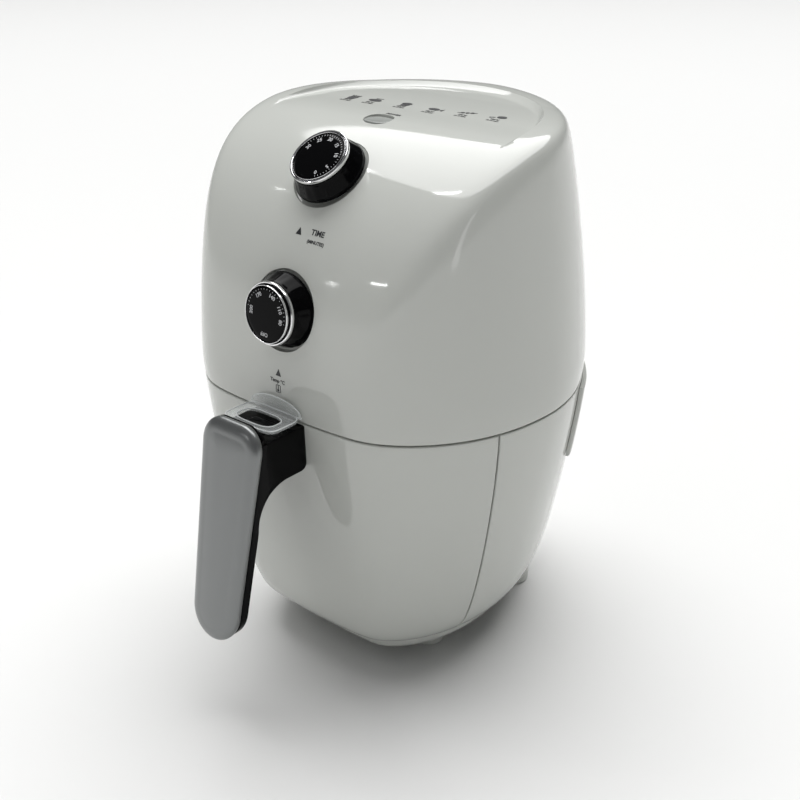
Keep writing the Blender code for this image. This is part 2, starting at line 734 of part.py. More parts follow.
def handle_ring(depth, inset):
    """Return the handle's outline on the leaning plane, moved forwards by depth."""
    return [(x, cover_plane_y(z) - depth, z) for x, z in handle_outline(inset)]


def build_handle_cover(silver):
    """The domed silver cover on the front of the handle."""
    rings = [handle_ring(-COVER_BACK, COVER_BACK_INSET), handle_ring(0.0, 0.0),
             handle_ring(COVER_DOME * 0.7, COVER_EDGE * 0.35), handle_ring(COVER_DOME, COVER_EDGE)]
    loft("handle_cover", rings, silver)


def root_back_y():
    """Return the rear of the handle's root, just inside the drawer's face."""
    return barrel_front_y(SEAM_Z) + ROOT_BACK_INSET


def build_handle_body(black):
    """The black handle: a root on the drawer that sweeps down into the grip."""
    gap = COVER_BACK + TOUCH
    back = root_back_y()
    low = HANDLE_BOTTOM_Z + GRIP_BOTTOM_RISE

    def face(z):
        return cover_plane_y(z) + gap

    neck = (face(ROOT_BOTTOM_Z - NECK_LENGTH) + GRIP_THICKNESS, ROOT_BOTTOM_Z - NECK_LENGTH)
    bend = arc((neck[0] + NECK_LENGTH, neck[1]), NECK_LENGTH, 90, 180, 5)
    outline = [(back, DECK_Z), (back, ROOT_BOTTOM_Z)] + bend
    outline += [(face(low) + GRIP_THICKNESS * 0.6, low), (face(low), low)]
    outline += [(face(HANDLE_TOP_Z - LIP_DROP), HANDLE_TOP_Z - LIP_DROP)]
    outline += [(face(HANDLE_TOP_Z) + LIP_TOP, HANDLE_TOP_Z - LIP_DROP), (face(DECK_Z) + LIP_FOOT, DECK_Z)]
    body = side_prism("handle_body", outline, GRIP_HALF, black)
    trim_rings = [[(x, y, z) for x, z in handle_outline(GRIP_INSET)] for y in (-2 * FRONT_DEPTH, 0.0)]
    trim = loft("handle_outline_trim", trim_rings, black)
    combine(body, trim, "INTERSECT")
    pocket = box("button_pocket", button_low(TOUCH * 2, DECK_Z - BUTTON_HEIGHT - BUTTON_TRAVEL - BUTTON_WELL),
                 button_high(TOUCH * 2, DECK_Z + CUT_REACH), black)
    cut(body, pocket)
    return body


def button_low(grow, z):
    """Return the low corner of the button, grown sideways."""
    return (-BUTTON_HALF - grow, BUTTON_REAR_Y - BUTTON_LENGTH - grow, z)


def button_high(grow, z):
    """Return the high corner of the button, grown sideways."""
    return (BUTTON_HALF + grow, BUTTON_REAR_Y + grow, z)


def build_release_button(black, steel):
    """The button in the handle's root and the spring below it."""
    low_z = DECK_Z - BUTTON_HEIGHT
    button = box("release_button", button_low(0, low_z), button_high(0, DECK_Z + BUTTON_PROUD), black)
    centre_y = BUTTON_REAR_Y - BUTTON_LENGTH / 2
    place(button, Matrix.Translation((0, centre_y, DECK_Z)))
    floor_z = low_z - BUTTON_TRAVEL - BUTTON_WELL
    start = floor_z + TOUCH + SPRING_WIRE
    rise = low_z - TOUCH - SPRING_WIRE - start
    curve = bpy.data.curves.new("button_spring", "CURVE")
    curve.dimensions = "3D"
    curve.bevel_depth = SPRING_WIRE
    curve.bevel_resolution = 1
    curve.use_fill_caps = True
    steps = SPRING_TURNS * 12
    spline = curve.splines.new("POLY")
    spline.points.add(steps)
    for i in range(steps + 1):
        angle = 2 * math.pi * SPRING_TURNS * i / steps
        spline.points[i].co = (SPRING_RADIUS * math.cos(angle), centre_y + SPRING_RADIUS * math.sin(angle),
                               start + rise * i / steps, 1.0)
    curve.materials.append(steel)
    spring = bpy.data.objects.new("button_spring", curve)
    bpy.context.collection.objects.link(spring)
    spring.parent = bpy.data.objects["fryer"]


def build_button_guard(clear):
    """The clear guard over the button: a lid hinged at its front, with an upright arch behind."""
    rear = barrel_front_y(SEAM_Z + GUARD_ARCH_HEIGHT / 2) - GUARD_REAR_GAP
    low = DECK_Z + GUARD_RISE
    lid = box("button_guard", (-GUARD_HALF, rear - GUARD_LENGTH, low),
              (GUARD_HALF, rear, low + GUARD_THICKNESS), clear)
    half = GUARD_HALF
    points = [(half, low - GUARD_RISE + TOUCH)]
    points += [(half * math.cos(a), low + GUARD_ARCH_HEIGHT * math.sin(a))
               for a in np.linspace(0, math.pi, 9)]
    points += [(-half, low - GUARD_RISE + TOUCH)]
    arch_rings = [[(x, y, z) for x, z in points] for y in (rear - GUARD_THICKNESS, rear)]
    arch = loft("guard_arch", arch_rings, clear)
    combine(lid, arch, "UNION")
    place(lid, Matrix.Translation((0, rear - GUARD_LENGTH, low)))


def build_basket_bracket(steel):
    """The hanger that runs from the handle's root over the pan's rim to the basket."""
    low = PAN_RIM_Z + 2 * TOUCH
    high = low + BRACKET_THICKNESS
    depth, centre = pan_oval(high, -BASKET_CLEARANCE - COATED_SHEET)[1:]
    x = BRACKET_HALF
    basket_y = centre - depth - 2 * TOUCH
    box("basket_bracket", (-x, root_back_y() + TOUCH, low), (x, basket_y, high), steel)


# ---------------------------------------------------------------- knobs and controls
def knob_places():
    """Return the name, height, tilt and sink of each knob."""
    return (("timer", TIMER_KNOB_Z, TIMER_TILT, 0.0),
            ("temperature", HEAT_KNOB_Z, HEAT_TILT, HEAT_KNOB_SINK))


def knob_frame(height, tilt, sink):
    """Return a frame on a knob's seat, with Z along the knob's axis and pointing out."""
    y = barrel_front_y(height)
    turn = Matrix.Rotation(math.pi / 2 - tilt, 4, "X")
    return Matrix.Translation((0, y, height)) @ turn @ Matrix.Translation((0, 0, -sink))


def build_knob(label, frame, black, chrome):
    """One knob: a flared body, a bright ring and a dark face."""
    base, front = KNOB_STANDOFF, KNOB_STANDOFF + KNOB_HEIGHT
    bore = SHAFT_RADIUS + TOUCH
    depth = base + SHAFT_IN_KNOB + TOUCH
    body_profile = [(KNOB_AXIS_HOLE, depth), (bore, depth), (bore, base), (KNOB_BASE_RADIUS, base),
                    (KNOB_BASE_RADIUS, base + KNOB_EDGE), (KNOB_NECK_RADIUS, front - KNOB_EDGE),
                    (KNOB_NECK_RADIUS - KNOB_ROUND, front), (KNOB_AXIS_HOLE, front)]
    body = turned(f"{label}_knob_body", body_profile, frame, black, count=28)
    seat = front + TOUCH
    ring_in = KNOB_FACE_RADIUS - KNOB_RING_WIDTH
    ring_top = seat + KNOB_RING_HEIGHT
    ring_profile = [(ring_in, seat), (KNOB_FACE_RADIUS, seat), (KNOB_FACE_RADIUS, ring_top - KNOB_ROUND),
                    (KNOB_FACE_RADIUS - KNOB_ROUND, ring_top), (ring_in, ring_top)]
    ring = turned(f"{label}_knob_ring", ring_profile, frame, chrome, bore=True, count=28)
    face_r = ring_in - TOUCH
    dial = seat + DIAL_THICKNESS
    face_profile = [(face_r, seat), (face_r, dial), (face_r * 0.5, dial + DIAL_CROWN * 0.8),
                    (KNOB_AXIS_HOLE, dial + DIAL_CROWN)]
    face = turned(f"{label}_knob_face", face_profile, frame, black, count=28)
    shaft_end = base + SHAFT_IN_KNOB
    shaft_profile = [(SHAFT_RADIUS, -CONTROL_SETBACK), (SHAFT_RADIUS, shaft_end)]
    shaft = turned(f"{label}_shaft", shaft_profile, frame, chrome, count=16)
    for item in (body, ring, face, shaft):
        place(item, frame)


def build_controls(metal, grey):
    """The clockwork timer with its bell, and the thermostat."""
    timer = knob_frame(TIMER_KNOB_Z, TIMER_TILT, 0.0)
    front = -CONTROL_SETBACK - TOUCH
    rear = front - TIMER_DEPTH
    turned("timer_movement", [(TIMER_RADIUS, rear), (TIMER_RADIUS, front - CASE_CHAMFER),
                              (TIMER_RADIUS - CASE_CHAMFER, front)], timer, metal)
    bell = rear - TOUCH
    turned("timer_bell", [(BELL_RADIUS * 0.4, bell - BELL_DEPTH),
                          (BELL_RADIUS * 0.85, bell - BELL_DEPTH * 0.7),
                          (BELL_RADIUS, bell - BELL_DEPTH * 0.2), (BELL_RADIUS, bell)], timer, metal)
    heat = knob_frame(HEAT_KNOB_Z, HEAT_TILT, HEAT_KNOB_SINK)
    turned("thermostat", [(THERMOSTAT_RADIUS, front - THERMOSTAT_DEPTH),
                          (THERMOSTAT_RADIUS, front - CASE_CHAMFER),
                          (THERMOSTAT_RADIUS - CASE_CHAMFER, front)], heat, grey)


def build_indicator(clear, amber):
    """The oval window in the deck and the lamp below it."""
    skin = float(barrel_point((LENS_X, LENS_Y, SEAM_Z), (0, 0, 1))[2])
    low = skin - LENS_THICKNESS - LENS_SINK
    loft("indicator_lens", lens_rings(low, low + LENS_THICKNESS, 0.0), clear)
    frame = Matrix.Translation((LENS_X, LENS_Y, low - LAMP_GAP - LAMP_LENGTH))
    turned("indicator_lamp", [(LAMP_RADIUS, 0), (LAMP_RADIUS, LAMP_LENGTH - LAMP_TIP),
                              (LAMP_RADIUS * 0.5, LAMP_LENGTH)], frame, amber, count=12)


# ---------------------------------------------------------------- heating chamber
def heat_deck_z():
    """Return the underside of the deck above the chamber."""
    return SEAM_Z + HEAT_DECK_RISE


def fan_axis_y():
    """Return the y of the fan's axis, above the middle of the pan."""
    return pan_oval(PAN_RIM_Z)[2]


def build_chamber_wall(steel):
    """The bright wall round the sides and rear of the pan, open at the front."""
    low, high = PAN_FLOOR_Z, SEAM_Z - LINER_TOP_BELOW_SEAM
    levels = [low, 0.5 * (low + high), high]

    def row(z, extra):
        side, depth, centre = pan_oval(z, SLIDE_GAP + extra)
        angle = np.linspace(0, math.pi, 21)
        power = 2 / PAN_ROUNDNESS
        x = side * np.sign(np.cos(angle)) * np.abs(np.cos(angle)) ** power
        y = centre + depth * np.sin(angle) ** power
        mouth = DOOR_Y + DOOR_LEAN * (SEAM_Z - z) + PANEL_GAP
        x = np.concatenate([[side], x, [-side]])
        y = np.concatenate([[mouth], y, [mouth]])
        return np.stack([x, y, np.full(len(x), z)], axis=-1)

    sheet("chamber_wall", [row(z, SHEET) for z in levels], [row(z, 0.0) for z in levels], steel)


def build_heat_deck(steel):
    """The plate above the chamber, with a round opening for the hot air."""
    low = heat_deck_z()
    high = low + HEAT_DECK_SHEET
    around = full_turn()
    outline = barrel_ring(around, low, HEAT_DECK_INSET)
    hole = np.stack([HEATER_OPENING * np.cos(around), fan_axis_y() + HEATER_OPENING * np.sin(around),
                     0 * around], axis=-1)

    def at(ring, z):
        moved = ring.copy()
        moved[:, 2] = z
        return moved

    rings = [at(outline, low), at(outline, high), at(hole, high), at(hole, low)]
    loft("heater_deck", rings, steel, closed=True)


def build_element(dark):
    """The spiral heating element with two upright ends."""
    z = heat_deck_z() + ELEMENT_Z_ABOVE_DECK
    centre_y = fan_axis_y()
    steps = 22 * ELEMENT_TURNS
    points = []
    for i in range(steps + 1):
        angle = 2 * math.pi * ELEMENT_TURNS * i / steps
        radius = ELEMENT_OUTER - ELEMENT_PITCH * angle / (2 * math.pi)
        points.append((radius * math.cos(angle), centre_y + radius * math.sin(angle), z))
    curve = bpy.data.curves.new("heating_element", "CURVE")
    curve.dimensions = "3D"
    curve.bevel_depth = ELEMENT_TUBE
    curve.bevel_resolution = 1
    curve.use_fill_caps = True
    spline = curve.splines.new("POLY")
    spline.points.add(len(points) - 1)
    for slot, point in zip(spline.points, points):
        slot.co = (*point, 1.0)
    curve.materials.append(dark)
    element = bpy.data.objects.new("heating_element", curve)
    bpy.context.collection.objects.link(element)
    element.parent = bpy.data.objects["fryer"]


def build_dome(steel):
    """The reflector over the element and fan, with a hole for the motor shaft."""
    low = heat_deck_z() + HEAT_DECK_SHEET + TOUCH
    top = low + DOME_HEIGHT
    frame = Matrix.Translation((0, fan_axis_y(), 0))
    r, f, c, t = DOME_RADIUS, DOME_FLANGE, DOME_CORNER, SHEET
    profile = [(r, low), (r + f, low), (r + f, low + t), (r + t, low + t), (r + t, top - c),
               (r + t - c * 0.3, top - c * 0.3), (r + t - c, top), (HUB_HOLE, top), (HUB_HOLE, top - t),
               (r - c, top - t), (r - c * 0.3, top - t - c * 0.3), (r, top - c)]
    turned("reflector_dome", profile, frame, steel, bore=True, count=28)
    return top


def build_fan(name, z_low, height, radius, blades, material):
    """A fan: a hub with flat radial blades on a disc."""
    centre_y = fan_axis_y()
    frame = Matrix.Translation((0, centre_y, z_low))
    hub = MOTOR_SHAFT_RADIUS + TOUCH
    disc = turned(name, [(hub, 0), (radius, 0), (radius, FAN_DISC), (hub + FAN_HUB_WALL, FAN_DISC),
                         (hub + FAN_HUB_WALL, height), (hub, height)], frame, material, bore=True, count=24)
    for i in range(blades):
        blade = box(f"{name}_blade_{i + 1}", (hub + FAN_HUB_WALL * 0.75, -BLADE_HALF, FAN_DISC / 2),
                    (radius - BLADE_INSET, BLADE_HALF, height), material)
        turn = Matrix.Rotation(2 * math.pi * (i + 0.5) / blades, 4, "Z")
        blade.data.transform(frame @ turn)
        combine(disc, blade, "UNION")
    place(disc, frame)


def build_motor(dome_top, steel, dark):
    """The motor on its plate, with one shaft for both fans."""
    centre_y = fan_axis_y()
    frame = Matrix.Translation((0, centre_y, 0))
    plate_low = dome_top + TOUCH
    plate_high = plate_low + MOTOR_PLATE_THICKNESS
    ring_points = 24
    angle = full_turn(ring_points)
    hole = [(HUB_HOLE * math.cos(a), centre_y + HUB_HOLE * math.sin(a)) for a in angle]
    square = [(MOTOR_PLATE_HALF * max(-1, min(1, 1.3 * math.cos(a))),
               centre_y + MOTOR_PLATE_HALF * max(-1, min(1, 1.3 * math.sin(a)))) for a in angle]
    rings = [[(x, y, z) for x, y in ring] for ring, z in
             ((square, plate_low), (square, plate_high), (hole, plate_high), (hole, plate_low))]
    loft("motor_plate", rings, steel, closed=True, smooth=False)
    low = plate_high + TOUCH
    high = low + MOTOR_HEIGHT
    bore = MOTOR_SHAFT_RADIUS + TURN_GAP
    turned("fan_motor", [(bore, low), (MOTOR_RADIUS, low), (MOTOR_RADIUS, high - MOTOR_SHOULDER),
                         (MOTOR_RADIUS - MOTOR_SHOULDER, high), (bore, high)], frame, dark, bore=True)
    cooling_low = high + MOTOR_TO_COOLING
    fan_low = dome_top - SHEET - FAN_BELOW_DOME - FAN_HEIGHT
    shaft_profile = [(MOTOR_SHAFT_RADIUS, fan_low - SHAFT_END),
                     (MOTOR_SHAFT_RADIUS, cooling_low + COOLING_HEIGHT + SHAFT_END / 2)]
    shaft = turned("motor_shaft", shaft_profile, frame, steel, count=16)
    place(shaft, Matrix.Translation((0, centre_y, fan_low)))
    build_fan("convection_fan", fan_low, FAN_HEIGHT, FAN_RADIUS, FAN_BLADES, steel)
    build_fan("cooling_fan", cooling_low, COOLING_HEIGHT, COOLING_RADIUS, COOLING_BLADES, dark)


def build_safety_parts(dome_top, dark):
    """The switch that feels the drawer, and the thermal cut-out on the dome."""
    low = heat_deck_z() + HEAT_DECK_SHEET + TOUCH
    hx, hy, hz = SWITCH_HALF
    box("drawer_switch", (SWITCH_X - hx, SWITCH_Y - hy, low),
        (SWITCH_X + hx, SWITCH_Y + hy, low + 2 * hz), dark)
    y = fan_axis_y() + MOTOR_PLATE_HALF + FUSE_SETBACK
    frame = Matrix.Translation((-FUSE_LENGTH / 2, y, dome_top + FUSE_RADIUS + TOUCH)) @ Matrix.Rotation(
        math.radians(90), 4, "Y")
    turned("thermal_cutout", [(FUSE_RADIUS, 0), (FUSE_RADIUS, FUSE_LENGTH)], frame, dark, count=12)


def clear_scene():
    """Remove whatever the file opened with."""
    for item in list(bpy.data.objects):
        bpy.data.objects.remove(item, do_unlink=True)


def main():
    """Build the fryer."""
    clear_scene()
    fryer = bpy.data.objects.new("fryer", None)
    fryer.location = (0, FRYER_Y, 0)
    bpy.context.collection.objects.link(fryer)

    white = make_material("white_plastic", (0.62, 0.63, 0.61), 0.25)
    black = make_material("black_plastic", (0.012, 0.012, 0.013), 0.22)
    silver = make_material("silver_paint", (0.42, 0.42, 0.42), 0.32, 0.7)
    chrome = make_material("chrome", (0.80, 0.80, 0.80), 0.08, 1.0)
    steel = make_material("steel_sheet", (0.55, 0.55, 0.56), 0.30, 1.0)
    coated = make_material("non_stick_coating", (0.035, 0.035, 0.037), 0.45, 0.2)
    dark = make_material("dark_metal", (0.10, 0.10, 0.11), 0.40, 0.8)
    clear = make_material("clear_plastic", (0.85, 0.86, 0.86), 0.05, 0.0, 0.35)
    amber = make_material("amber_lamp", (0.80, 0.30, 0.05), 0.20)
    rubber = make_material("foot_rubber", (0.50, 0.50, 0.49), 0.60)

    build_upper_housing(white)
    build_lower_housing(white)
    build_outlet_cover(white)
    build_mains_inlet(black)
    build_base(white, rubber)
    build_pan(coated)
    build_basket(coated)
    build_drawer_front(white)
    build_pan_mounts(black)
    build_handle_body(black)
    build_handle_cover(silver)
    build_release_button(black, steel)
    build_button_guard(clear)
    build_basket_bracket(steel)
    for label, height, tilt, sink in knob_places():
        build_knob(label, knob_frame(height, tilt, sink), black, chrome)
    build_controls(steel, dark)
    build_indicator(clear, amber)
    build_chamber_wall(steel)
    build_heat_deck(steel)
    build_element(dark)
    dome_top = build_dome(steel)
    build_motor(dome_top, steel, dark)
    build_safety_parts(dome_top, dark)


main()
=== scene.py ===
"""A compact hot-air fryer with a pull-out drawer: fine surfaces, finishes and a pale stage.

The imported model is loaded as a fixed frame. Each operator then lays one piece or
one group of like pieces over it. A shape is a function of two parameters worked
out with numpy, or a profile carried round an axis or up the grip.

Sizes are in metres, +Z is up and the front faces -Y. The barrel's own axis is
moved back by AXIS_Y, so that the origin is below the middle of the fryer.
"""
import math

import bmesh
import bpy
import numpy as np
from mathutils import Matrix, Vector


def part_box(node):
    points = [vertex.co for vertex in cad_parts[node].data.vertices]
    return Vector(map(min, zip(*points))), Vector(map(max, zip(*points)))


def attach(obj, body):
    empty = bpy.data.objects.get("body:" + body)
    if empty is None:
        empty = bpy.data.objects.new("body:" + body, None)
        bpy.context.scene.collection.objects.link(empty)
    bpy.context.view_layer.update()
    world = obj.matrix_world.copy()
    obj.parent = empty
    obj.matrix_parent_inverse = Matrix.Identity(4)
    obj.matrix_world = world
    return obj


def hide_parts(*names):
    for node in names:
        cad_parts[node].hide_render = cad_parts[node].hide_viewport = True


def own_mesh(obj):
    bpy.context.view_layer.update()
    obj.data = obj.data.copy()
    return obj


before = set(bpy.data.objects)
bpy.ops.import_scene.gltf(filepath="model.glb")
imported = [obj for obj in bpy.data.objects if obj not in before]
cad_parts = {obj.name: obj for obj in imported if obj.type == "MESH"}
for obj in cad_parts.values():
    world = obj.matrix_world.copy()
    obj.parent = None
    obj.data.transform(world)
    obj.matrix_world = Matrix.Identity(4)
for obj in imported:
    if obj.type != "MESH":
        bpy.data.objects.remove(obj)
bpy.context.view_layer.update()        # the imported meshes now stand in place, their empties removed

bl_info = {
    "name": "Drawer fryer",
    "version": (1, 0, 0),
    "blender": (4, 5, 0),
    "location": "3D View > Sidebar > Fryer",
    "description": "Builds the visible surfaces of a compact hot-air fryer",
    "category": "Object",
}

MM = 0.001

# Shape of the barrel.
HALF_WIDTH = 0.1064
WIDEST_Z = 0.1659
DECK_HEIGHT = 0.2957
UNDERSIDE_Z = 0.0108
FRONT_DEPTH = 0.0924
SIDE_FRONT_DEPTH = 0.1021
REAR_DEPTH = 0.1150
SEAM_Z = 0.1544
DOOR_Y = -0.0363
DOOR_LEAN = 0.080
TAPER_UP = 0.116
TAPER_UP_REAR = 0.217
TAPER_UP_POWER = 1.498
TAPER_DOWN = 0.350
TAPER_DOWN_REAR = -0.0235
TAPER_DOWN_FRONT = 0.178
TAPER_DOWN_POWER = 1.392
LOWER_SPAN = 0.1729
FRONT_ROUNDNESS = 2.179
REAR_ROUNDNESS = 1.774
CROWN_Y = 0.0524
CROWN_Z = 0.1244
CROWN_ROUNDNESS = 2.915
DECK_RISE = 0.015
FRONT_BOW = 0.511
EDGE_BLEND = 0.0050
BOTTOM_BLEND = 0.0203
SKIRT_Z = 0.0170
FRONT_FOOT_Y = -0.0210
SIDE_SCALE = 0.100               # turns the share by which a point is outside into metres
CROWN_SCALE = 0.120
MEAN_RADIUS = 0.1                # of the barrel, to turn angles into lengths
PANEL_LENGTH = 0.24              # about the length of the drawer face round the barrel
OUTLET_LENGTH = 0.23             # and of the outlet cover
RAY_REACH = 0.35                 # longer than any ray to the skin

# The sunken panel on the deck: ellipses at the top and at the foot of its wall.
PANEL_TOP = (0.0776, 0.0728)
PANEL_FOOT = (0.0757, 0.0650)
PANEL_FADE = (-0.0160, 0.0200)   # the wall rises between these y

# Pan and basket.
PAN_FLOOR_Z = 0.0215
PAN_RIM_Z = 0.1430
PAN_ROUNDNESS = 2.15
PAN_SIDE_ROOM = 0.0165
PAN_FRONT_ROOM = 0.0120
PAN_REAR_ROOM = 0.0300
PAN_CORNER = 0.0120
COATED_SHEET = 0.0012
BASKET_CLEARANCE = 0.0035
BASKET_FLOOR_RISE = 0.0110
BASKET_RIM_ABOVE_PAN = 0.0035
BASKET_EDGE = 0.0145             # floor kept free of slots
FLOOR_SLOT = (0.00175, 0.0065)   # half sizes
FLOOR_SLOT_PITCH = (0.0150, 0.0190)
WALL_SLOT = (0.0020, 0.0150)
WALL_SLOT_PITCH = 0.0200

# Handle, release button and guard.
HANDLE_TOP_Z = 0.1622
HANDLE_BOTTOM_Z = 0.0472
HANDLE_TOP_HALF = 0.0200
HANDLE_BOTTOM_HALF = 0.0162
HANDLE_CORNER = 0.0125
HANDLE_FACE_Y = -0.1206
HANDLE_LEAN = 0.200
COVER_BACK = 0.0020
TAPER_LENGTH = 0.0850
GRIP_INSET = 0.00035
GRIP_HALF = 0.0177
GRIP_THICKNESS = 0.0058
ROOT_BOTTOM_Z = 0.1295
NECK_REACH = (0.0240, 0.0220)   # along y and down
DECK_Z = 0.1536
BUTTON_HALF = 0.0085
BUTTON_LENGTH = 0.0120
BUTTON_REAR_Y = -0.0985
BUTTON_PROUD = 0.0012
BUTTON_HEIGHT = 0.0060
BUTTON_TRAVEL = 0.0035
GUARD_HALF = 0.0180
GUARD_THICKNESS = 0.0016
GUARD_RISE = 0.0030
GUARD_LENGTH = 0.0225
GUARD_ARCH_HEIGHT = 0.0120
GUARD_REAR_GAP = 0.0012
GUARD_OPENING = (0.0125, 0.0062)   # half sizes

# Knobs: height on the front line, tilt of the axis and sink of the seat; then the tilt and the
# depth of the dish moulded round each.
KNOBS = {"timer": (0.27159, math.radians(50.3), 0.0), "temperature": (0.20939, math.radians(6.2), 0.0025)}
DISHES = {"timer": (math.radians(49.0), 0.0030), "temperature": (math.radians(13.7), 0.0038)}
DISH_RADIUS = 0.0204
KNOB_SKIRT = 0.0010              # how far a knob reaches down into its dish
KNOB_BASE_RADIUS = 0.0190
KNOB_NECK_RADIUS = 0.0162
KNOB_STANDOFF = 0.0008
SHAFT_WELL = 0.0034              # radius of the hollow round the shaft
KNOB_HEIGHT = 0.0092
DIAL_RADIUS = 0.0136
DIAL_LIFT = {"timer": 0.0004, "temperature": 0.0022}   # dial above the chrome band

# Air outlet, mains inlet and indicator window.
OUTLET_TOP = SEAM_Z - 0.0030
OUTLET_HEIGHT = 0.0420
OUTLET_HALF_ANGLE = math.radians(66.0)
OUTLET_PROUD = 0.0025
VENT_COUNT = 7
VENT_WIDTH = 0.0035
VENT_PITCH = 0.0085
VENT_HEIGHT = 0.0260
INLET_Z = 0.0420
INLET_RADIUS = 0.0070
LENS_X = -0.0042
LENS_Y = -0.0070
LENS_HALF = (0.0080, 0.0064)
LENS_ROUNDNESS = 2.3

# Stage: the floor, the lamps' distance, and the slits' azimuth, elevation, width and height.
FLOOR_RADIUS = 4.2
SWEEP_RADIUS = 1.2
WALL_TOP = 2.6
LAMP_DISTANCE = 1.3
SLIT_WATTS_PER_AREA = 90
SLITS = ((-90, 51, 0.04, 0.08), (-24, 17, 0.19, 0.018), (-74, 64, 0.03, 0.15),
         (-66, 38, 0.007, 0.03), (-36, 12, 0.012, 0.035))

AXIS_Y = 0.5 * (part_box("foot_front_right")[0].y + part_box("foot_front_right")[1].y) - FRONT_FOOT_Y


# ------------------------------------------------------------------ settings
def linear(code):
    """Turn an sRGB hex colour into linear red, green, blue and 1."""
    parts = [int(code[i:i + 2], 16) / 255 for i in (0, 2, 4)]
    return tuple(c / 12.92 if c <= 0.04045 else ((c + 0.055) / 1.055) ** 2.4 for c in parts) + (1.0,)


def colour(label, code, about):
    """A colour a user may change, given as sRGB hex."""
    return bpy.props.FloatVectorProperty(name=label, description=about, subtype="COLOR", size=4,
                                         min=0.0, max=1.0, default=linear(code))


def length(label, default, low, high, about):
    """A length a user may change, given in millimetres."""
    return bpy.props.FloatProperty(name=label, description=about, default=default * MM, min=low * MM,
                                   max=high * MM, unit="LENGTH")


def direction_angle(label, degrees, about):
    """An angle of the camera a user may change, given in degrees."""
    return bpy.props.FloatProperty(name=label, description=about, default=math.radians(degrees),
                                   subtype="ANGLE")


class FryerColours(bpy.types.PropertyGroup):
    """Colours of the finishes."""
    white: colour("White plastic", "C6C8C3", "Moulded housing, drawer face and feet")
    black: colour("Black plastic", "060607", "Moulded handle, knobs and button")
    silver: colour("Silver paint", "7E8080", "Painted cover of the handle")
    dark_ink: colour("Dark ink", "2A2B2D", "Print on the housing")
    pale_ink: colour("Pale ink", "B9BABC", "Print on the dials")
    coating: colour("Coating", "27282A", "Non-stick coating of the pan and basket")
    floor: colour("Floor", "E3E3E2", "Matt paper below the fryer")


class FryerSizes(bpy.types.PropertyGroup):
    """Sizes that change how the surfaces look."""
    wall: length("Wall", 2.5, 1, 4, "Thickness of the moulded walls")
    seam: length("Seam", 0.8, 0.2, 2, "Gap between housing and drawer face")
    edge: length("Edge rounding", 0.8, 0.2, 1.5, "Rounding along the seams")
    panel_sink: length("Panel depth", 2.4, 0, 4, "How far the deck's panel is sunk")
    ribs: bpy.props.IntProperty(name="Knob ribs", description="Faint ribs round each knob",
                                default=20, min=6, max=60)
    rib_height: length("Rib height", 0.10, 0, 0.5, "Height of the knobs' ribs")
    columns: bpy.props.IntProperty(name="Columns", description="Points round the barrel",
                                   default=320, min=64, max=400)


class FryerStage(bpy.types.PropertyGroup):
    """Camera and lights."""
    azimuth: direction_angle("Azimuth", 40.80567, "Camera's direction from the front")
    elevation: direction_angle("Elevation", 24.92488, "Camera's height as an angle")
    roll: direction_angle("Roll", -0.27892, "Camera's turn about its own axis")
    distance: bpy.props.FloatProperty(name="Distance", description="From the camera to its target",
                                      default=0.74683, unit="LENGTH")
    target: bpy.props.FloatVectorProperty(name="Target", description="Point the camera looks at",
                                          default=(-0.01746, 0.03858, 0.11707), subtype="TRANSLATION")
    lens: bpy.props.FloatProperty(name="Lens", description="Focal length in mm", default=56.95)
    key: bpy.props.FloatProperty(name="Overhead light", description="Strength of the wide overhead light",
                                 default=3.5, min=0.0)
    ambient: bpy.props.FloatProperty(name="Ambient", description="Strength of the surrounding light",
                                     default=0.16, min=0.0)


def colours():
    """Return the scene's colours."""
    return bpy.context.scene.fryer_colours


def sizes():
    """Return the scene's sizes."""
    return bpy.context.scene.fryer_sizes


# ------------------------------------------------------------------ finishes
def add_node(tree, kind, inputs=(), **settings):
    """Add a node with its settings; inputs are pairs of a socket and a value or a socket to link."""
    made = tree.nodes.new(kind)
    for name, value in settings.items():
        setattr(made, name, value)
    for socket, value in inputs:
        if isinstance(value, bpy.types.NodeSocket):
            tree.links.new(value, made.inputs[socket])
        else:
            made.inputs[socket].default_value = value
    return made


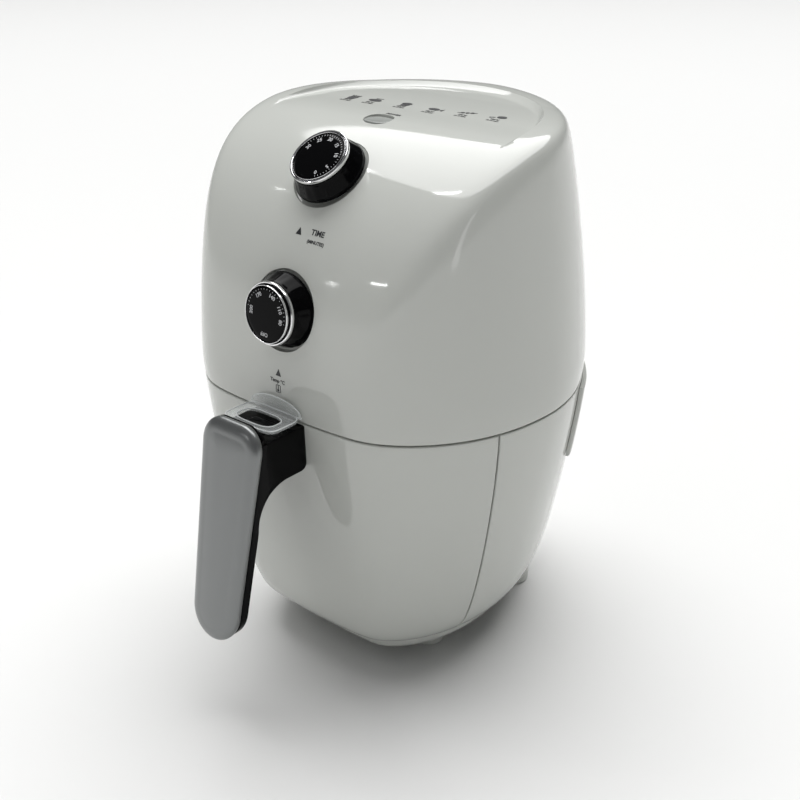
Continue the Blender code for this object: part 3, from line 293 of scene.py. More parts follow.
def finish(name, base, roughness, sockets=(), grain=0.4 * MM, grain_depth=0.002 * MM, wave=7 * MM,
           wave_depth=0.004 * MM, mottle=0.03, sheen_range=0.06, stretch=(1, 1, 1)):
    """Return a named surface: a fine grain and a slow waviness in relief, with tone and gloss
    that drift a little from place to place. Sizes are real millimetres on the object."""
    made = bpy.data.materials.get(name)
    if made:
        return made
    made = bpy.data.materials.new(name)
    made.use_nodes = True
    tree = made.node_tree
    shader = tree.nodes["Principled BSDF"]
    place = add_node(tree, "ShaderNodeTexCoord").outputs["Object"]
    place = add_node(tree, "ShaderNodeMapping", [("Vector", place), ("Scale", stretch)]).outputs["Vector"]
    fine = add_node(tree, "ShaderNodeTexNoise", [("Vector", place), ("Scale", 1 / grain), ("Detail", 2.0)])
    slow = add_node(tree, "ShaderNodeTexNoise", [("Vector", place), ("Scale", 1 / wave), ("Detail", 1.0)])
    drift = add_node(tree, "ShaderNodeTexNoise", [("Vector", place), ("Scale", 25.0), ("Detail", 3.0)])
    low = tuple(max(c * (1 - mottle), 0) for c in base[:3]) + (1.0,)
    high = tuple(min(c * (1 + mottle), 1) for c in base[:3]) + (1.0,)
    tone = add_node(tree, "ShaderNodeMix", [(0, drift.outputs[0]), (6, low), (7, high)], data_type="RGBA")
    tree.links.new(tone.outputs[2], shader.inputs["Base Color"])
    gloss = add_node(tree, "ShaderNodeMapRange", [("Value", drift.outputs[0]), ("From Min", 0.3),
                     ("From Max", 0.7), ("To Min", max(roughness - sheen_range / 2, 0.02)),
                     ("To Max", roughness + sheen_range / 2)])
    tree.links.new(gloss.outputs[0], shader.inputs["Roughness"])
    wavy = add_node(tree, "ShaderNodeBump", [("Height", slow.outputs[0]), ("Distance", wave_depth),
                    ("Strength", 1.0)])
    grainy = add_node(tree, "ShaderNodeBump", [("Height", fine.outputs[0]), ("Distance", grain_depth),
                      ("Strength", 1.0), ("Normal", wavy.outputs[0])])
    tree.links.new(grainy.outputs[0], shader.inputs["Normal"])
    for socket, value in sockets:
        shader.inputs[socket].default_value = value
    return made


def white_abs():
    """ABS moulded in a polished tool: an even pale grey-white with a clear gloss."""
    return finish("polished_moulded_white_abs", colours().white, 0.07,
                  [("IOR", 1.53)], grain_depth=0.0003 * MM, mottle=0.01, sheen_range=0.03,
                  wave=14 * MM, wave_depth=0.003 * MM)


def black_abs():
    """ABS moulded in a polished tool and dyed black: deep, with sharp small highlights."""
    return finish("polished_moulded_black_abs", colours().black, 0.08,
                  [("IOR", 1.50), ("Specular IOR Level", 0.07)], grain_depth=0.0005 * MM, mottle=0.15,
                  sheen_range=0.04, wave=8 * MM)


def silver_paint():
    """Metallic paint sprayed on ABS under a satin lacquer: flakes of about 0.25 mm at show scale,
    drawn coarser than the real 0.03 mm so that they register."""
    return finish("sprayed_silver_lacquer", colours().silver, 0.30,
                  [("Metallic", 0.75), ("Coat Weight", 0.3), ("Coat Roughness", 0.14)],
                  grain=0.25 * MM, grain_depth=0.006 * MM, mottle=0.05, wave=12 * MM)


def chrome():
    """Chromium plated over ABS: near-mirror, slightly softened by the moulding below."""
    return finish("bright_chrome_plated_abs", linear("E2E2E3"), 0.08, [("Metallic", 1.0)],
                  mottle=0.01, sheen_range=0.04, wave=5 * MM, wave_depth=0.002 * MM)


def polycarbonate():
    """Clear polycarbonate, polished: a thin pane that shows little but its reflections."""
    return finish("clear_moulded_polycarbonate", linear("E8ECEC"), 0.04,
                  [("IOR", 1.585), ("Alpha", 0.22)], grain_depth=0.0003 * MM, mottle=0.01,
                  sheen_range=0.02, wave=5 * MM)


def polycarbonate_highlight_bead():
    """The same clear plastic made brighter and more opaque, for thin beads: a painted highlight standing in
    for the light that gathers where the pane is seen edge-on.
    """
    return finish("painted_highlight_polycarbonate_rim", linear("EDF0F0"), 0.08,
                  [("IOR", 1.585), ("Alpha", 0.72)], grain_depth=0.0003 * MM, mottle=0.02)


def frosted_window():
    """Polycarbonate moulded with a frosted back: a milky grey pane with a glossy top."""
    return finish("frosted_grey_polycarbonate", linear("BDC0BC"), 0.12,
                  [("IOR", 1.585), ("Transmission Weight", 0.25)], mottle=0.05, wave=3 * MM)


def amber():
    """Acrylic moulded in amber, for the unlit lamp: a dull orange that lets some light through."""
    return finish("moulded_amber_acrylic", linear("C0702A"), 0.2,
                  [("IOR", 1.49), ("Transmission Weight", 0.5)])


def dark_print():
    """Pad-printed epoxy ink on the housing: flat and slightly matt."""
    return finish("pad_printed_dark_ink", colours().dark_ink, 0.45, mottle=0.05)


def pale_print():
    """Pad-printed epoxy ink on the dials: pale and slightly matt."""
    return finish("pad_printed_pale_ink", colours().pale_ink, 0.45, mottle=0.05)


def coated_steel():
    """Pressed steel with a sprayed and baked PTFE coat: dark, low gloss, with fine specks."""
    return finish("baked_ptfe_coated_steel", colours().coating, 0.42,
                  [("Specular IOR Level", 0.4)], grain=0.5 * MM, grain_depth=0.02 * MM, mottle=0.18)


def bright_sheet():
    """Cold-rolled aluminised steel: a soft grain drawn out along the rolling direction."""
    return finish("rolled_aluminised_steel", linear("B6B7B8"), 0.30, [("Metallic", 1.0)],
                  grain=0.5 * MM, grain_depth=0.008 * MM, mottle=0.08, stretch=(1, 0.06, 1))


def dark_metal():
    """Heat-blackened steel, as on an element's sheath and on motor laminations."""
    return finish("heat_blackened_steel", linear("4A4848"), 0.42, [("Metallic", 0.9)],
                  grain=0.6 * MM, grain_depth=0.012 * MM, mottle=0.2)


def foot_plastic():
    """Soft TPE moulded in the housing's colour: matt, with no highlight."""
    return finish("moulded_pale_tpe", colours().white, 0.55, grain=0.5 * MM, grain_depth=0.02 * MM)


# ------------------------------------------------------------------ barrel
def blend_max(a, b, width):
    """The larger of a and b, rounded where they meet over about width."""
    return 0.5 * (a + b + np.sqrt((a - b) ** 2 + width * width))


def barrel_field(x, y, z):
    """About how far a point lies outside the barrel: a superellipse plan that tapers with height,
    cut by a superellipse arch for the sloping front and by a nearly level deck, with the edges
    between them rounded off."""
    up = np.clip((z - WIDEST_Z) / (DECK_HEIGHT - WIDEST_Z), 0, 1.3) ** TAPER_UP_POWER
    down = np.clip((WIDEST_Z - z) / LOWER_SPAN, 0, 1) ** TAPER_DOWN_POWER
    half_width = HALF_WIDTH * (1 - TAPER_UP * up - TAPER_DOWN * down)
    rear = REAR_DEPTH * (1 - TAPER_UP_REAR * up - TAPER_DOWN_REAR * down)
    front = SIDE_FRONT_DEPTH * (1 - TAPER_UP * up - TAPER_DOWN_FRONT * down)
    depth = np.where(y < 0, front, rear)
    power = np.where(y < 0, FRONT_ROUNDNESS, REAR_ROUNDNESS)
    plan = (np.abs(x) / half_width) ** power + (np.abs(y) / depth) ** power
    side = (plan ** (1 / power) - 1) * SIDE_SCALE
    bowed_y = y - FRONT_BOW * x * x
    reach = CROWN_Y + FRONT_DEPTH * (1 - TAPER_DOWN_FRONT * down)
    forward = np.clip((CROWN_Y - bowed_y) / reach, 0, None)
    height = np.clip((z - CROWN_Z) / (DECK_HEIGHT - CROWN_Z), 0, None)
    slope = forward ** CROWN_ROUNDNESS + height ** CROWN_ROUNDNESS
    front_face = (slope ** (1 / CROWN_ROUNDNESS) - 1) * CROWN_SCALE
    deck = (height - 1) * CROWN_SCALE - DECK_RISE * (bowed_y - CROWN_Y)
    cap = np.where(bowed_y > CROWN_Y, deck, front_face)
    return blend_max(blend_max(side, cap, EDGE_BLEND), UNDERSIDE_Z - z, BOTTOM_BLEND)


def skin_point(origin, direction, inset=0.0):
    """Where rays leave the barrel moved inwards by inset: each ray is halved again and again
    until it meets the skin."""
    origin, direction = np.broadcast_arrays(np.asarray(origin, float), np.asarray(direction, float))
    near = np.zeros(direction.shape[:-1])
    far = near + RAY_REACH
    for _ in range(26):
        middle = 0.5 * (near + far)
        point = origin + middle[..., None] * direction
        inside = barrel_field(point[..., 0], point[..., 1], point[..., 2]) < -inset
        near = np.where(inside, middle, near)
        far = np.where(inside, far, middle)
    return origin + near[..., None] * direction


def flat_rays(angle):
    """Level directions at the given angles."""
    return np.stack([np.cos(angle), np.sin(angle), 0 * angle], -1)


def skin_at(angle, z, inset=0.0):
    """Points of the skin at directions angle and heights z."""
    origin = np.stack([0 * z, 0 * z, z], -1)
    return skin_point(origin, flat_rays(angle), inset)


def front_y(z, inset=0.0):
    """The y of the front line at height z."""
    return float(skin_point((0, 0, z), (0, -1, 0), inset)[1])


def rear_y(z):
    """The y of the rear line at height z."""
    return float(skin_point((0, 0, z), (0, 1, 0))[1])


def side_x(z):
    """The barrel's half width at height z."""
    return float(skin_point((0, 0, z), (1, 0, 0))[0])


def door_angle(z, set_back):
    """Direction of the drawer's side seam at each height z, moved back by set_back."""
    seam_y = DOOR_Y + DOOR_LEAN * (SEAM_Z - z) + set_back
    low, high = np.full(z.shape, -math.pi / 2), np.full(z.shape, 0.6)
    for _ in range(36):
        middle = 0.5 * (low + high)
        short = skin_at(middle, z)[..., 1] < seam_y
        low, high = np.where(short, middle, low), np.where(short, high, middle)
    return 0.5 * (low + high)


def turn(count):
    """Evenly spaced angles round a full turn."""
    return np.linspace(0, 2 * math.pi, count, endpoint=False)


def smooth_step(t):
    """0 below 0, 1 above 1 and a smooth rise between."""
    t = np.clip(t, 0, 1)
    return t * t * (3 - 2 * t)


# ------------------------------------------------------------------ meshes
def grid_faces(rows, columns, wrap_rows=False, wrap_columns=True, first=0):
    """Four-sided faces between neighbouring points of a grid."""
    r = np.arange(rows if wrap_rows else rows - 1)[:, None]
    c = np.arange(columns if wrap_columns else columns - 1)[None, :]
    r_next, c_next = (r + 1) % rows, (c + 1) % columns
    quads = np.stack(np.broadcast_arrays(r * columns + c, r * columns + c_next,
                                         r_next * columns + c_next, r_next * columns + c), -1)
    return (first + quads.reshape(-1, 4)).tolist()


def loft_shell(rings, wrap=False):
    """A closed skin over rings of equal length: the ends are capped, unless it wraps on itself."""
    rings = np.asarray(rings, float)
    rows, columns = rings.shape[:2]
    faces = grid_faces(rows, columns, wrap_rows=wrap)
    if not wrap:
        faces += [list(range(columns))[::-1], list(range((rows - 1) * columns, rows * columns))]
    return rings.reshape(-1, 3), faces


def sheet_shell(outer, inner):
    """Two grids joined round their open edge into one wall."""
    rows, columns = outer.shape[:2]
    faces = grid_faces(rows, columns, wrap_columns=False)
    faces += grid_faces(rows, columns, wrap_columns=False, first=rows * columns)
    top = [(0, c) for c in range(columns)] + [(r, columns - 1) for r in range(1, rows)]
    rim = top + [(rows - 1, c) for c in range(columns - 2, -1, -1)] + [(r, 0) for r in range(rows - 2, 0, -1)]
    rim = np.array([r * columns + c for r, c in rim])
    after = np.roll(rim, -1)
    faces += np.stack([rim, after, after + rows * columns, rim + rows * columns], -1).tolist()
    return np.concatenate([outer.reshape(-1, 3), inner.reshape(-1, 3)]), faces


def joined(*shells):
    """Several closed skins as one."""
    points, faces, first = [], [], 0
    for part, part_faces in shells:
        points.append(part)
        faces += [[first + i for i in face] for face in part_faces]
        first += len(part)
    return np.concatenate(points), faces


def placed(points, matrix):
    """Points carried into a matrix's frame: turned, then moved."""
    return points @ np.array(matrix.to_3x3()).T + np.array(matrix.translation)


def turned_shell(profile, matrix, count=96, wrap=False, ribs=0, rib_height=0.0):
    """A profile of (radius, height) carried round the matrix's Z axis. Ribs add a cosine to the
    radius, strongest half way up the outside."""
    profile = np.asarray(profile, float)
    angle = turn(count)
    radius = np.repeat(profile[:, :1], count, 1)
    if ribs:
        span = profile[:, 1:] / max(profile[:, 1].max(), 1e-9)
        outer = profile[:, :1] > 0.8 * profile[:, 0].max()
        radius = radius + rib_height * outer * np.sin(math.pi * np.clip(span, 0, 1)) * np.cos(ribs * angle)
    points = np.stack([radius * np.cos(angle), radius * np.sin(angle),
                       np.repeat(profile[:, 1:], count, 1)], -1)
    return loft_shell(placed(points, matrix), wrap)


def bead_shell(line, radius, count=8):
    """A round bead along a closed line: circles across the line's own direction."""
    along = np.roll(line, -1, 0) - np.roll(line, 1, 0)
    along /= np.linalg.norm(along, axis=1)[:, None]
    middle = line.mean(0)
    out = line - middle
    out -= (out * along).sum(1)[:, None] * along
    out /= np.linalg.norm(out, axis=1)[:, None]
    over = np.cross(along, out)
    section = turn(count)[None, :, None]
    circle = np.cos(section) * out[:, None] + np.sin(section) * over[:, None]
    return loft_shell(line[:, None] + radius * circle, wrap=True)


def to_mesh(name, shell):
    """Put a skin in a mesh, moved back from the barrel's axis to the model's frame."""
    points, faces = shell
    mesh = bpy.data.meshes.new(name)
    mesh.from_pydata((np.asarray(points) + (0, AXIS_Y, 0)).tolist(), [], faces)
    work = bmesh.new()
    work.from_mesh(mesh)
    bmesh.ops.recalc_face_normals(work, faces=work.faces)
    work.to_mesh(mesh)
    work.free()
    return mesh


def new_object(name, mesh):
    """Link a mesh as an object."""
    item = bpy.data.objects.new(name, mesh)
    bpy.context.scene.collection.objects.link(item)
    return item


def smooth(mesh, angle=32):
    """Shade a mesh smooth, with edges sharper than angle kept crisp."""
    mesh.shade_smooth()
    mesh.set_sharp_from_angle(angle=math.radians(angle))


def carve(item, cutter_shell, operation="DIFFERENCE"):
    """Cut a closed skin out of an object and keep the result as its mesh."""
    cutter = new_object(item.name + "_cutter", to_mesh(item.name + "_cutter", cutter_shell))
    step = item.modifiers.new("carve", "BOOLEAN")
    step.operation, step.solver, step.object = operation, "MANIFOLD", cutter
    graph = bpy.context.evaluated_depsgraph_get()
    result = bpy.data.meshes.new_from_object(item.evaluated_get(graph))
    item.modifiers.clear()
    old, item.data = item.data, result
    bpy.data.meshes.remove(old)
    bpy.data.objects.remove(cutter)
    if len(result.polygons) < 4:
        raise RuntimeError(f"nothing was left of {item.name} after a cut")
    return item


def piece(name, shell, material, body, replaces=(), cuts=(), angle=32):
    """Make one visible piece from a closed skin, less its cuts."""
    item = new_object(name, to_mesh(name, shell))
    for cutter in cuts:
        carve(item, cutter)
    return dress(item, material, body, replaces, angle)


def paint(item, material):
    """Give an object one finish."""
    item.data.materials.clear()
    item.data.materials.append(material)


def dress(item, material, body, replaces=(), angle=32):
    """Give a shape its shading and finish, the body it rides on and the nodes it stands for."""
    smooth(item.data, angle)
    paint(item, material)
    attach(item, body)
    if replaces:
        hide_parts(*replaces)
    return item


def block(low, high):
    """The skin of a plain block, used as a cutter."""
    (x0, y0, z0), (x1, y1, z1) = low, high
    rings = [[(x0, y0, z), (x1, y0, z), (x1, y1, z), (x0, y1, z)] for z in (z0, z1)]
    return loft_shell(rings)


def oval(half_x, half_y, roundness, centre, z, count=96):
    """A level superellipse: the cosine and sine raised to 2 over the roundness."""
    angle = turn(count)
    cos, sin = np.cos(angle), np.sin(angle)
    x = centre[0] + half_x * np.sign(cos) * np.abs(cos) ** (2 / roundness)
    y = centre[1] + half_y * np.sign(sin) * np.abs(sin) ** (2 / roundness)
    return np.stack([x, y, np.full(count, float(z))], -1)


def edge_inset(distance, radius):
    """How far a rounded edge falls back at a distance from it: a quarter of a circle."""
    share = np.clip(distance / radius, 0, 1)
    return radius * (1 - np.sqrt(1 - (1 - share) ** 2))


def panel_fall(side, z, edge):
    """How far a panel's face falls back: the more of what its distance from the sides and its
    distance from the lower and upper ends give."""
    end = np.minimum(z - z[0], z[-1] - z)[:, None]
    return np.maximum(edge_inset(side, edge), edge_inset(end, edge))


def edge_spread(low, high, count, radius):
    """Values from low to high, packed within radius of both ends to draw their rounding."""
    near = radius * np.array([0, 0.02, 0.09, 0.2, 0.4, 0.65, 1.0])
    return np.concatenate([low + near, np.linspace(low, high, count + 2)[1:-1], (high - near)[::-1]])


# ------------------------------------------------------------------ housing
def panel_sink(x, y):
    """How far the deck's panel lies below the crown: full inside the foot ellipse, nothing outside
    the top ellipse, a quarter wave between that starts steep at the top edge, and faded out
    towards the front."""
    foot = np.sqrt((x / PANEL_FOOT[0]) ** 2 + (y / PANEL_FOOT[1]) ** 2)
    top = np.sqrt((x / PANEL_TOP[0]) ** 2 + (y / PANEL_TOP[1]) ** 2)
    share = (foot - 1) / np.maximum(foot - top, 1e-6)
    fade = smooth_step((y - PANEL_FADE[0]) / (PANEL_FADE[1] - PANEL_FADE[0]))
    return sizes().panel_sink * fade * (1 - np.clip(np.where(foot < 1, 0, share), 0, 1) ** 2)


def front_matrix(height, tilt, sink):
    """Frame on the front line, sunk along its own Z, which points out and up by tilt."""
    turned = Matrix.Rotation(math.pi / 2 - tilt, 4, "X")
    return Matrix.Translation((0, front_y(height), height)) @ turned @ Matrix.Translation((0, 0, -sink))


def knob_matrix(label):
    """Frame of a knob's seat."""
    return front_matrix(*KNOBS[label])


def dish_shells(label):
    """A boss behind the front, the dish cut into it, and the hole for the shaft. The dish has a
    flat floor, a small fillet, a steep wall and a flare towards the skin."""
    place = front_matrix(KNOBS[label][0], *DISHES[label])
    floor = DISH_RADIUS / MM
    boss = turned_shell(np.array([(floor + 0.25, -7.0), (floor + 0.25, 0.5)]) * MM, place, 120)
    wall = [(floor - 0.5, 0.0), (floor - 0.1, 0.12), (floor + 0.1, 0.5), (floor + 0.7, 5.0),
            (floor + 1.5, 9.0)]
    dish = turned_shell(np.array([(1.0, 0.0)] + wall + [(1.0, 9.0)]) * MM, place, 160)
    hole = turned_shell(np.array([(4.0, -12.0), (4.0, 12.0)]) * MM, knob_matrix(label), 48)
    return boss, dish, hole


def lens_ring(shrink, z):
    """Outline of the indicator window at height z, made smaller by shrink."""
    return oval(LENS_HALF[0] - shrink, LENS_HALF[1] - shrink, LENS_ROUNDNESS, (LENS_X, LENS_Y), z)


class FRYER_OT_upper_housing(bpy.types.Operator):
    """Dome above the seam: rays up to the panel's edge, then plumb lines over the deck"""
    bl_idname = "fryer.upper_housing"
    bl_label = "Upper housing"

    def execute(self, context):
        low_z = SEAM_Z + sizes().seam / 2
        around = turn(sizes().columns)
        cos, sin = np.cos(around), np.sin(around)

        def ellipse(half):
            return 1 / np.sqrt((cos / half[0]) ** 2 + (sin / half[1]) ** 2)

        def plumb(radius, inset):
            """Points of the deck straight above a ring of the given radius."""
            x, y = radius * cos, radius * sin
            origin = np.stack([x, y, np.full(x.shape, SEAM_Z)], -1)
            point = skin_point(origin, (0, 0, 1), inset)
            point[:, 2] -= panel_sink(x, y)
            return point

        outer_edge, inner_edge = ellipse(PANEL_TOP), ellipse(PANEL_FOOT)
        top_point = plumb(outer_edge, 0.0)
        top_angle = np.arctan2(top_point[:, 2] - low_z, outer_edge)
        shares = np.concatenate([[0, 0.00015, 0.0007, 0.0016, 0.0032, 0.0052, 0.008, 0.013],
                                 np.linspace(0.02, 1, 92)])

        def shell(inset, shares, wall_steps, deck_steps):
            rings = []
            for share in shares:
                angle = top_angle * share
                rays = np.stack([np.cos(angle) * cos, np.cos(angle) * sin, np.sin(angle)], -1)
                rise = MEAN_RADIUS * np.tan(angle)
                rings.append(skin_point((0, 0, low_z), rays, inset + edge_inset(rise, sizes().edge)))
            rings.append(plumb(outer_edge * 0.9985, inset))
            for share in wall_steps:
                rings.append(plumb(outer_edge + (inner_edge - outer_edge) * share, inset))
            for share in deck_steps:
                rings.append(plumb(inner_edge * share, inset))
            return rings

        outside = shell(0.0, shares, np.linspace(0.1, 1, 12), np.linspace(0.97, 0.01, 34))
        inside = shell(sizes().wall, np.linspace(0, 1, 9), [0.5, 1], np.linspace(0.8, 0.02, 5))
        window = loft_shell([lens_ring(-0.3 * MM, z) for z in (0.27, 0.31)])
        dome = new_object("housing_upper", to_mesh("housing_upper", loft_shell(inside[::-1] + outside)))
        for label in KNOBS:
            for shell_cut, operation in zip(dish_shells(label), ("UNION", "DIFFERENCE", "DIFFERENCE")):
                carve(dome, shell_cut, operation)
        carve(dome, window)
        dress(dome, white_abs(), "housing", ["upper_housing"], 27)
        return {"FINISHED"}


def wall_panel(front, low_z, high_z, rows, columns):
    """The wall below the seam, in front of the door seams or behind them, with rounded edges.
    The grid runs up the height and round the barrel between the two seams."""
    edge, wall = sizes().edge, sizes().wall
    z = edge_spread(low_z, high_z, rows, edge)
    start = door_angle(z, -sizes().seam / 2 if front else sizes().seam / 2)
    end = -math.pi - start if front else math.pi - start
    span = np.abs(end - start)
    share = edge_spread(0.0, 1.0, columns, edge / PANEL_LENGTH)
    angle = start[:, None] + (end - start)[:, None] * share[None, :]
    height = np.repeat(z[:, None], len(share), 1)
    inset = panel_fall(np.minimum(share, 1 - share)[None, :] * span[:, None] * MEAN_RADIUS, z, edge)
    return sheet_shell(skin_at(angle, height, inset), skin_at(angle, height, wall + 0 * inset))


class FRYER_OT_lower_housing(bpy.types.Operator):
    """Wall round the sides and rear below the seam, with the air and mains openings"""
    bl_idname = "fryer.lower_housing"
    bl_label = "Lower housing"

    def execute(self, context):
        middle = OUTLET_TOP - OUTLET_HEIGHT / 2
        reach = VENT_PITCH * (VENT_COUNT - 1) / 2 + 2 * VENT_WIDTH
        rear = rear_y(middle)
        duct = block((-reach, rear - 0.02, middle - VENT_HEIGHT / 2 - VENT_WIDTH),
                     (reach, rear + 0.02, middle + VENT_HEIGHT / 2 + VENT_WIDTH))
        hole = turned_shell([(INLET_RADIUS + 0.3 * MM, -0.02), (INLET_RADIUS + 0.3 * MM, 0.02)],
                            inlet_matrix(), 48)
        shell = wall_panel(False, SKIRT_Z, SEAM_Z - sizes().seam / 2, 70, 190)
        piece("housing_lower", shell, white_abs(), "housing", ["lower_housing"],
              [duct, hole], angle=40)
        return {"FINISHED"}


class FRYER_OT_drawer_face(bpy.types.Operator):
    """Curved face of the drawer; the handle's root grows out of it"""
    bl_idname = "fryer.drawer_face"
    bl_label = "Drawer face"

    def execute(self, context):
        shell = wall_panel(True, SKIRT_Z + sizes().seam, SEAM_Z - sizes().seam / 2, 70, 150)
        piece("drawer_face", shell, white_abs(), "drawer", ["drawer_front"], angle=25)
        return {"FINISHED"}


def inlet_matrix():
    """Frame of the mains inlet, with Z pointing out of the rear."""
    return Matrix.Translation((0, rear_y(INLET_Z), INLET_Z)) @ Matrix.Rotation(math.radians(-90), 4, "X")


class FRYER_OT_rear_fittings(bpy.types.Operator):
    """Slotted cover over the rear air outlet, and the collar of the mains inlet"""
    bl_idname = "fryer.rear_fittings"
    bl_label = "Rear fittings"

    def execute(self, context):
        low = OUTLET_TOP - OUTLET_HEIGHT
        edge = 1.2 * MM
        z = edge_spread(low, OUTLET_TOP, 14, edge)
        share = edge_spread(0.0, 1.0, 90, edge / OUTLET_LENGTH)
        angle = math.pi / 2 - OUTLET_HALF_ANGLE + 2 * OUTLET_HALF_ANGLE * share
        angle, height = np.meshgrid(angle, z)
        fall = panel_fall(np.minimum(share, 1 - share)[None, :] * OUTLET_LENGTH, z, edge)
        shell = sheet_shell(skin_at(angle, height, fall - OUTLET_PROUD),
                            skin_at(angle, height, 0 * fall - 0.2 * MM))
        middle = OUTLET_TOP - OUTLET_HEIGHT / 2
        rear = rear_y(middle)
        slots = []
        for i in range(VENT_COUNT):
            x = (i - (VENT_COUNT - 1) / 2) * VENT_PITCH
            rings = [oval(VENT_WIDTH / 2, VENT_HEIGHT / 2, 5.0, (x, middle), y, 40)[:, [0, 2, 1]]
                     for y in (rear - 0.015, rear + 0.015)]
            slots.append(loft_shell(rings))
        piece("rear_outlet_cover", shell, white_abs(), "housing", ["rear_air_outlet"],
              [joined(*slots)], angle=40)
        lip, bore, proud = INLET_RADIUS + 1.5 * MM, 3.5 * MM, 3.5 * MM
        profile = [(bore, -7.5 * MM), (INLET_RADIUS, -7.5 * MM), (INLET_RADIUS, 0.6 * MM), (lip, 0.6 * MM),
                   (lip, proud - 1 * MM), (lip - 0.3 * MM, proud - 0.3 * MM), (lip - 1 * MM, proud),
                   (bore + 0.8 * MM, proud), (bore + 0.2 * MM, proud - 0.3 * MM), (bore, proud - 0.9 * MM)]
        piece("mains_inlet_bush", turned_shell(profile, inlet_matrix(), 56, wrap=True), black_abs(),
              "housing", ["mains_inlet_collar"])
        return {"FINISHED"}


class FRYER_OT_base(bpy.types.Operator):
    """Floor of the housing with a rounded rim, and its four feet"""
    bl_idname = "fryer.base"
    bl_label = "Base and feet"

    def execute(self, context):
        around = turn(240)
        outline = skin_at(around, np.full(around.shape, SKIRT_Z))
        centre = outline.mean(0)
        spread = outline - centre
        spread /= np.linalg.norm(spread, axis=1)[:, None]
        rings = []
        for back, z in ((4.0, 0.0), (2.6, 0.2), (1.4, 0.9), (0.6, 2.0), (0.1, 3.4), (0.0, 4.9),
                        (0.25, 5.5), (0.9, 5.9)):
            ring = outline - spread * back * MM
            ring[:, 2] = UNDERSIDE_Z + z * MM
            rings.append(ring)
        piece("base_floor", loft_shell(rings), white_abs(), "housing", ["base_plate"])
        for name in ("foot_front_right", "foot_front_left", "foot_rear_right", "foot_rear_left"):
            low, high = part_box(name)
            centre = 0.5 * (low + high)
            radius, top = 0.5 * (high.x - low.x), high.z - low.z
            edge = 1.6 * MM
            bend = [(radius - edge + edge * math.sin(a), edge - edge * math.cos(a))
                    for a in np.linspace(0, math.pi / 2, 7)]
            profile = [(1 * MM, 0.0)] + bend + [(radius, top), (1 * MM, top)]
            place = Matrix.Translation((centre.x, centre.y - AXIS_Y, 0))
            piece(name + "_pad", turned_shell(profile, place, 56), foot_plastic(), "housing", [name])
        return {"FINISHED"}


# ------------------------------------------------------------------ pan and basket
def pan_sizes(z):
    """Half sizes and centre of the pan's outside at height z: straight from floor to rim."""
    share = (z - PAN_FLOOR_Z) / (PAN_RIM_Z - PAN_FLOOR_Z)
    ends = []
    for level in (PAN_FLOOR_Z, PAN_RIM_Z):
        side = side_x(level) - PAN_SIDE_ROOM
        front, rear = front_y(level) + PAN_FRONT_ROOM, rear_y(level) - PAN_REAR_ROOM
        ends.append((side, 0.5 * (rear - front), 0.5 * (rear + front)))
    return [a + share * (b - a) for a, b in zip(*ends)]


def bowl_shell(floor_z, rim_z, grow, columns=120):
    """An open bowl of thin sheet: a quarter-round corner swept up from the floor, and a rim with
    a small rolled edge."""
    def ring(z, shrink):
        side, depth, centre = pan_sizes(z)
        return oval(side + grow - shrink, depth + grow - shrink, PAN_ROUNDNESS, (0, centre), z, columns)

    corner, sheet = PAN_CORNER, COATED_SHEET
    side, depth = pan_sizes(floor_z)[:2]
    outer = [ring(floor_z, depth * share) for share in (0.98, 0.6, 0.3)]
    inner = [ring(floor_z + sheet, depth * share) for share in (0.98, 0.6, 0.3)]
    for angle in np.radians(np.linspace(0, 90, 10)):
        lift, shrink = corner * (1 - math.cos(angle)), corner * (1 - math.sin(angle))
        outer.append(ring(floor_z + lift, shrink))
        inner.append(ring(floor_z + sheet + lift, shrink + sheet))
    for share in np.linspace(0.25, 1, 4):
        z = floor_z + corner + (rim_z - 0.6 * MM - floor_z - corner) * share
        outer.append(ring(z, 0))
        inner.append(ring(z + 0.2 * MM, sheet))
    roll = 0.15 * MM
    lip = [ring(rim_z - roll, roll), ring(rim_z, sheet / 2), ring(rim_z - roll, sheet - roll)]
    return loft_shell(inner + lip[::-1] + outer[::-1])


class FRYER_OT_pan(bpy.types.Operator):
    """Deep pan that catches the fat"""
    bl_idname = "fryer.pan"
    bl_label = "Pan"

    def execute(self, context):
        piece("fat_pan", bowl_shell(PAN_FLOOR_Z, PAN_RIM_Z, 0.0), coated_steel(), "drawer", ["pan"])
        return {"FINISHED"}


class FRYER_OT_basket(bpy.types.Operator):
    """Basket with round-ended slots in its floor and rear wall"""
    bl_idname = "fryer.basket"
    bl_label = "Basket"

    def execute(self, context):
        floor_z = PAN_FLOOR_Z + BASKET_FLOOR_RISE
        rim_z = PAN_RIM_Z + BASKET_RIM_ABOVE_PAN
        grow = -BASKET_CLEARANCE - COATED_SHEET
        side, depth, centre = pan_sizes(floor_z)
        side, depth = side + grow - BASKET_EDGE, depth + grow - BASKET_EDGE
        slots = []
        for i in range(-4, 5):
            for j in range(-3, 4):
                x, y = i * FLOOR_SLOT_PITCH[0], centre + j * FLOOR_SLOT_PITCH[1]
                if ((abs(x) + 0.002) / side) ** 2 + ((abs(y - centre) + FLOOR_SLOT[1]) / depth) ** 2 < 1:
                    slots.append(loft_shell([oval(*FLOOR_SLOT, 4.0, (x, y), z, 24)
                                             for z in (floor_z - 0.004, floor_z + 0.004)]))
        middle = 0.5 * (floor_z + rim_z)
        for i in range(5):
            x = (i - 2) * WALL_SLOT_PITCH
            slots.append(loft_shell([oval(*WALL_SLOT, 5.0, (x, middle), y, 32)[:, [0, 2, 1]]
                                     for y in (centre, centre + 0.115)]))
        piece("food_basket", bowl_shell(floor_z, rim_z, grow), coated_steel(), "drawer", ["basket"],
              [joined(*slots)], angle=40)
        return {"FINISHED"}


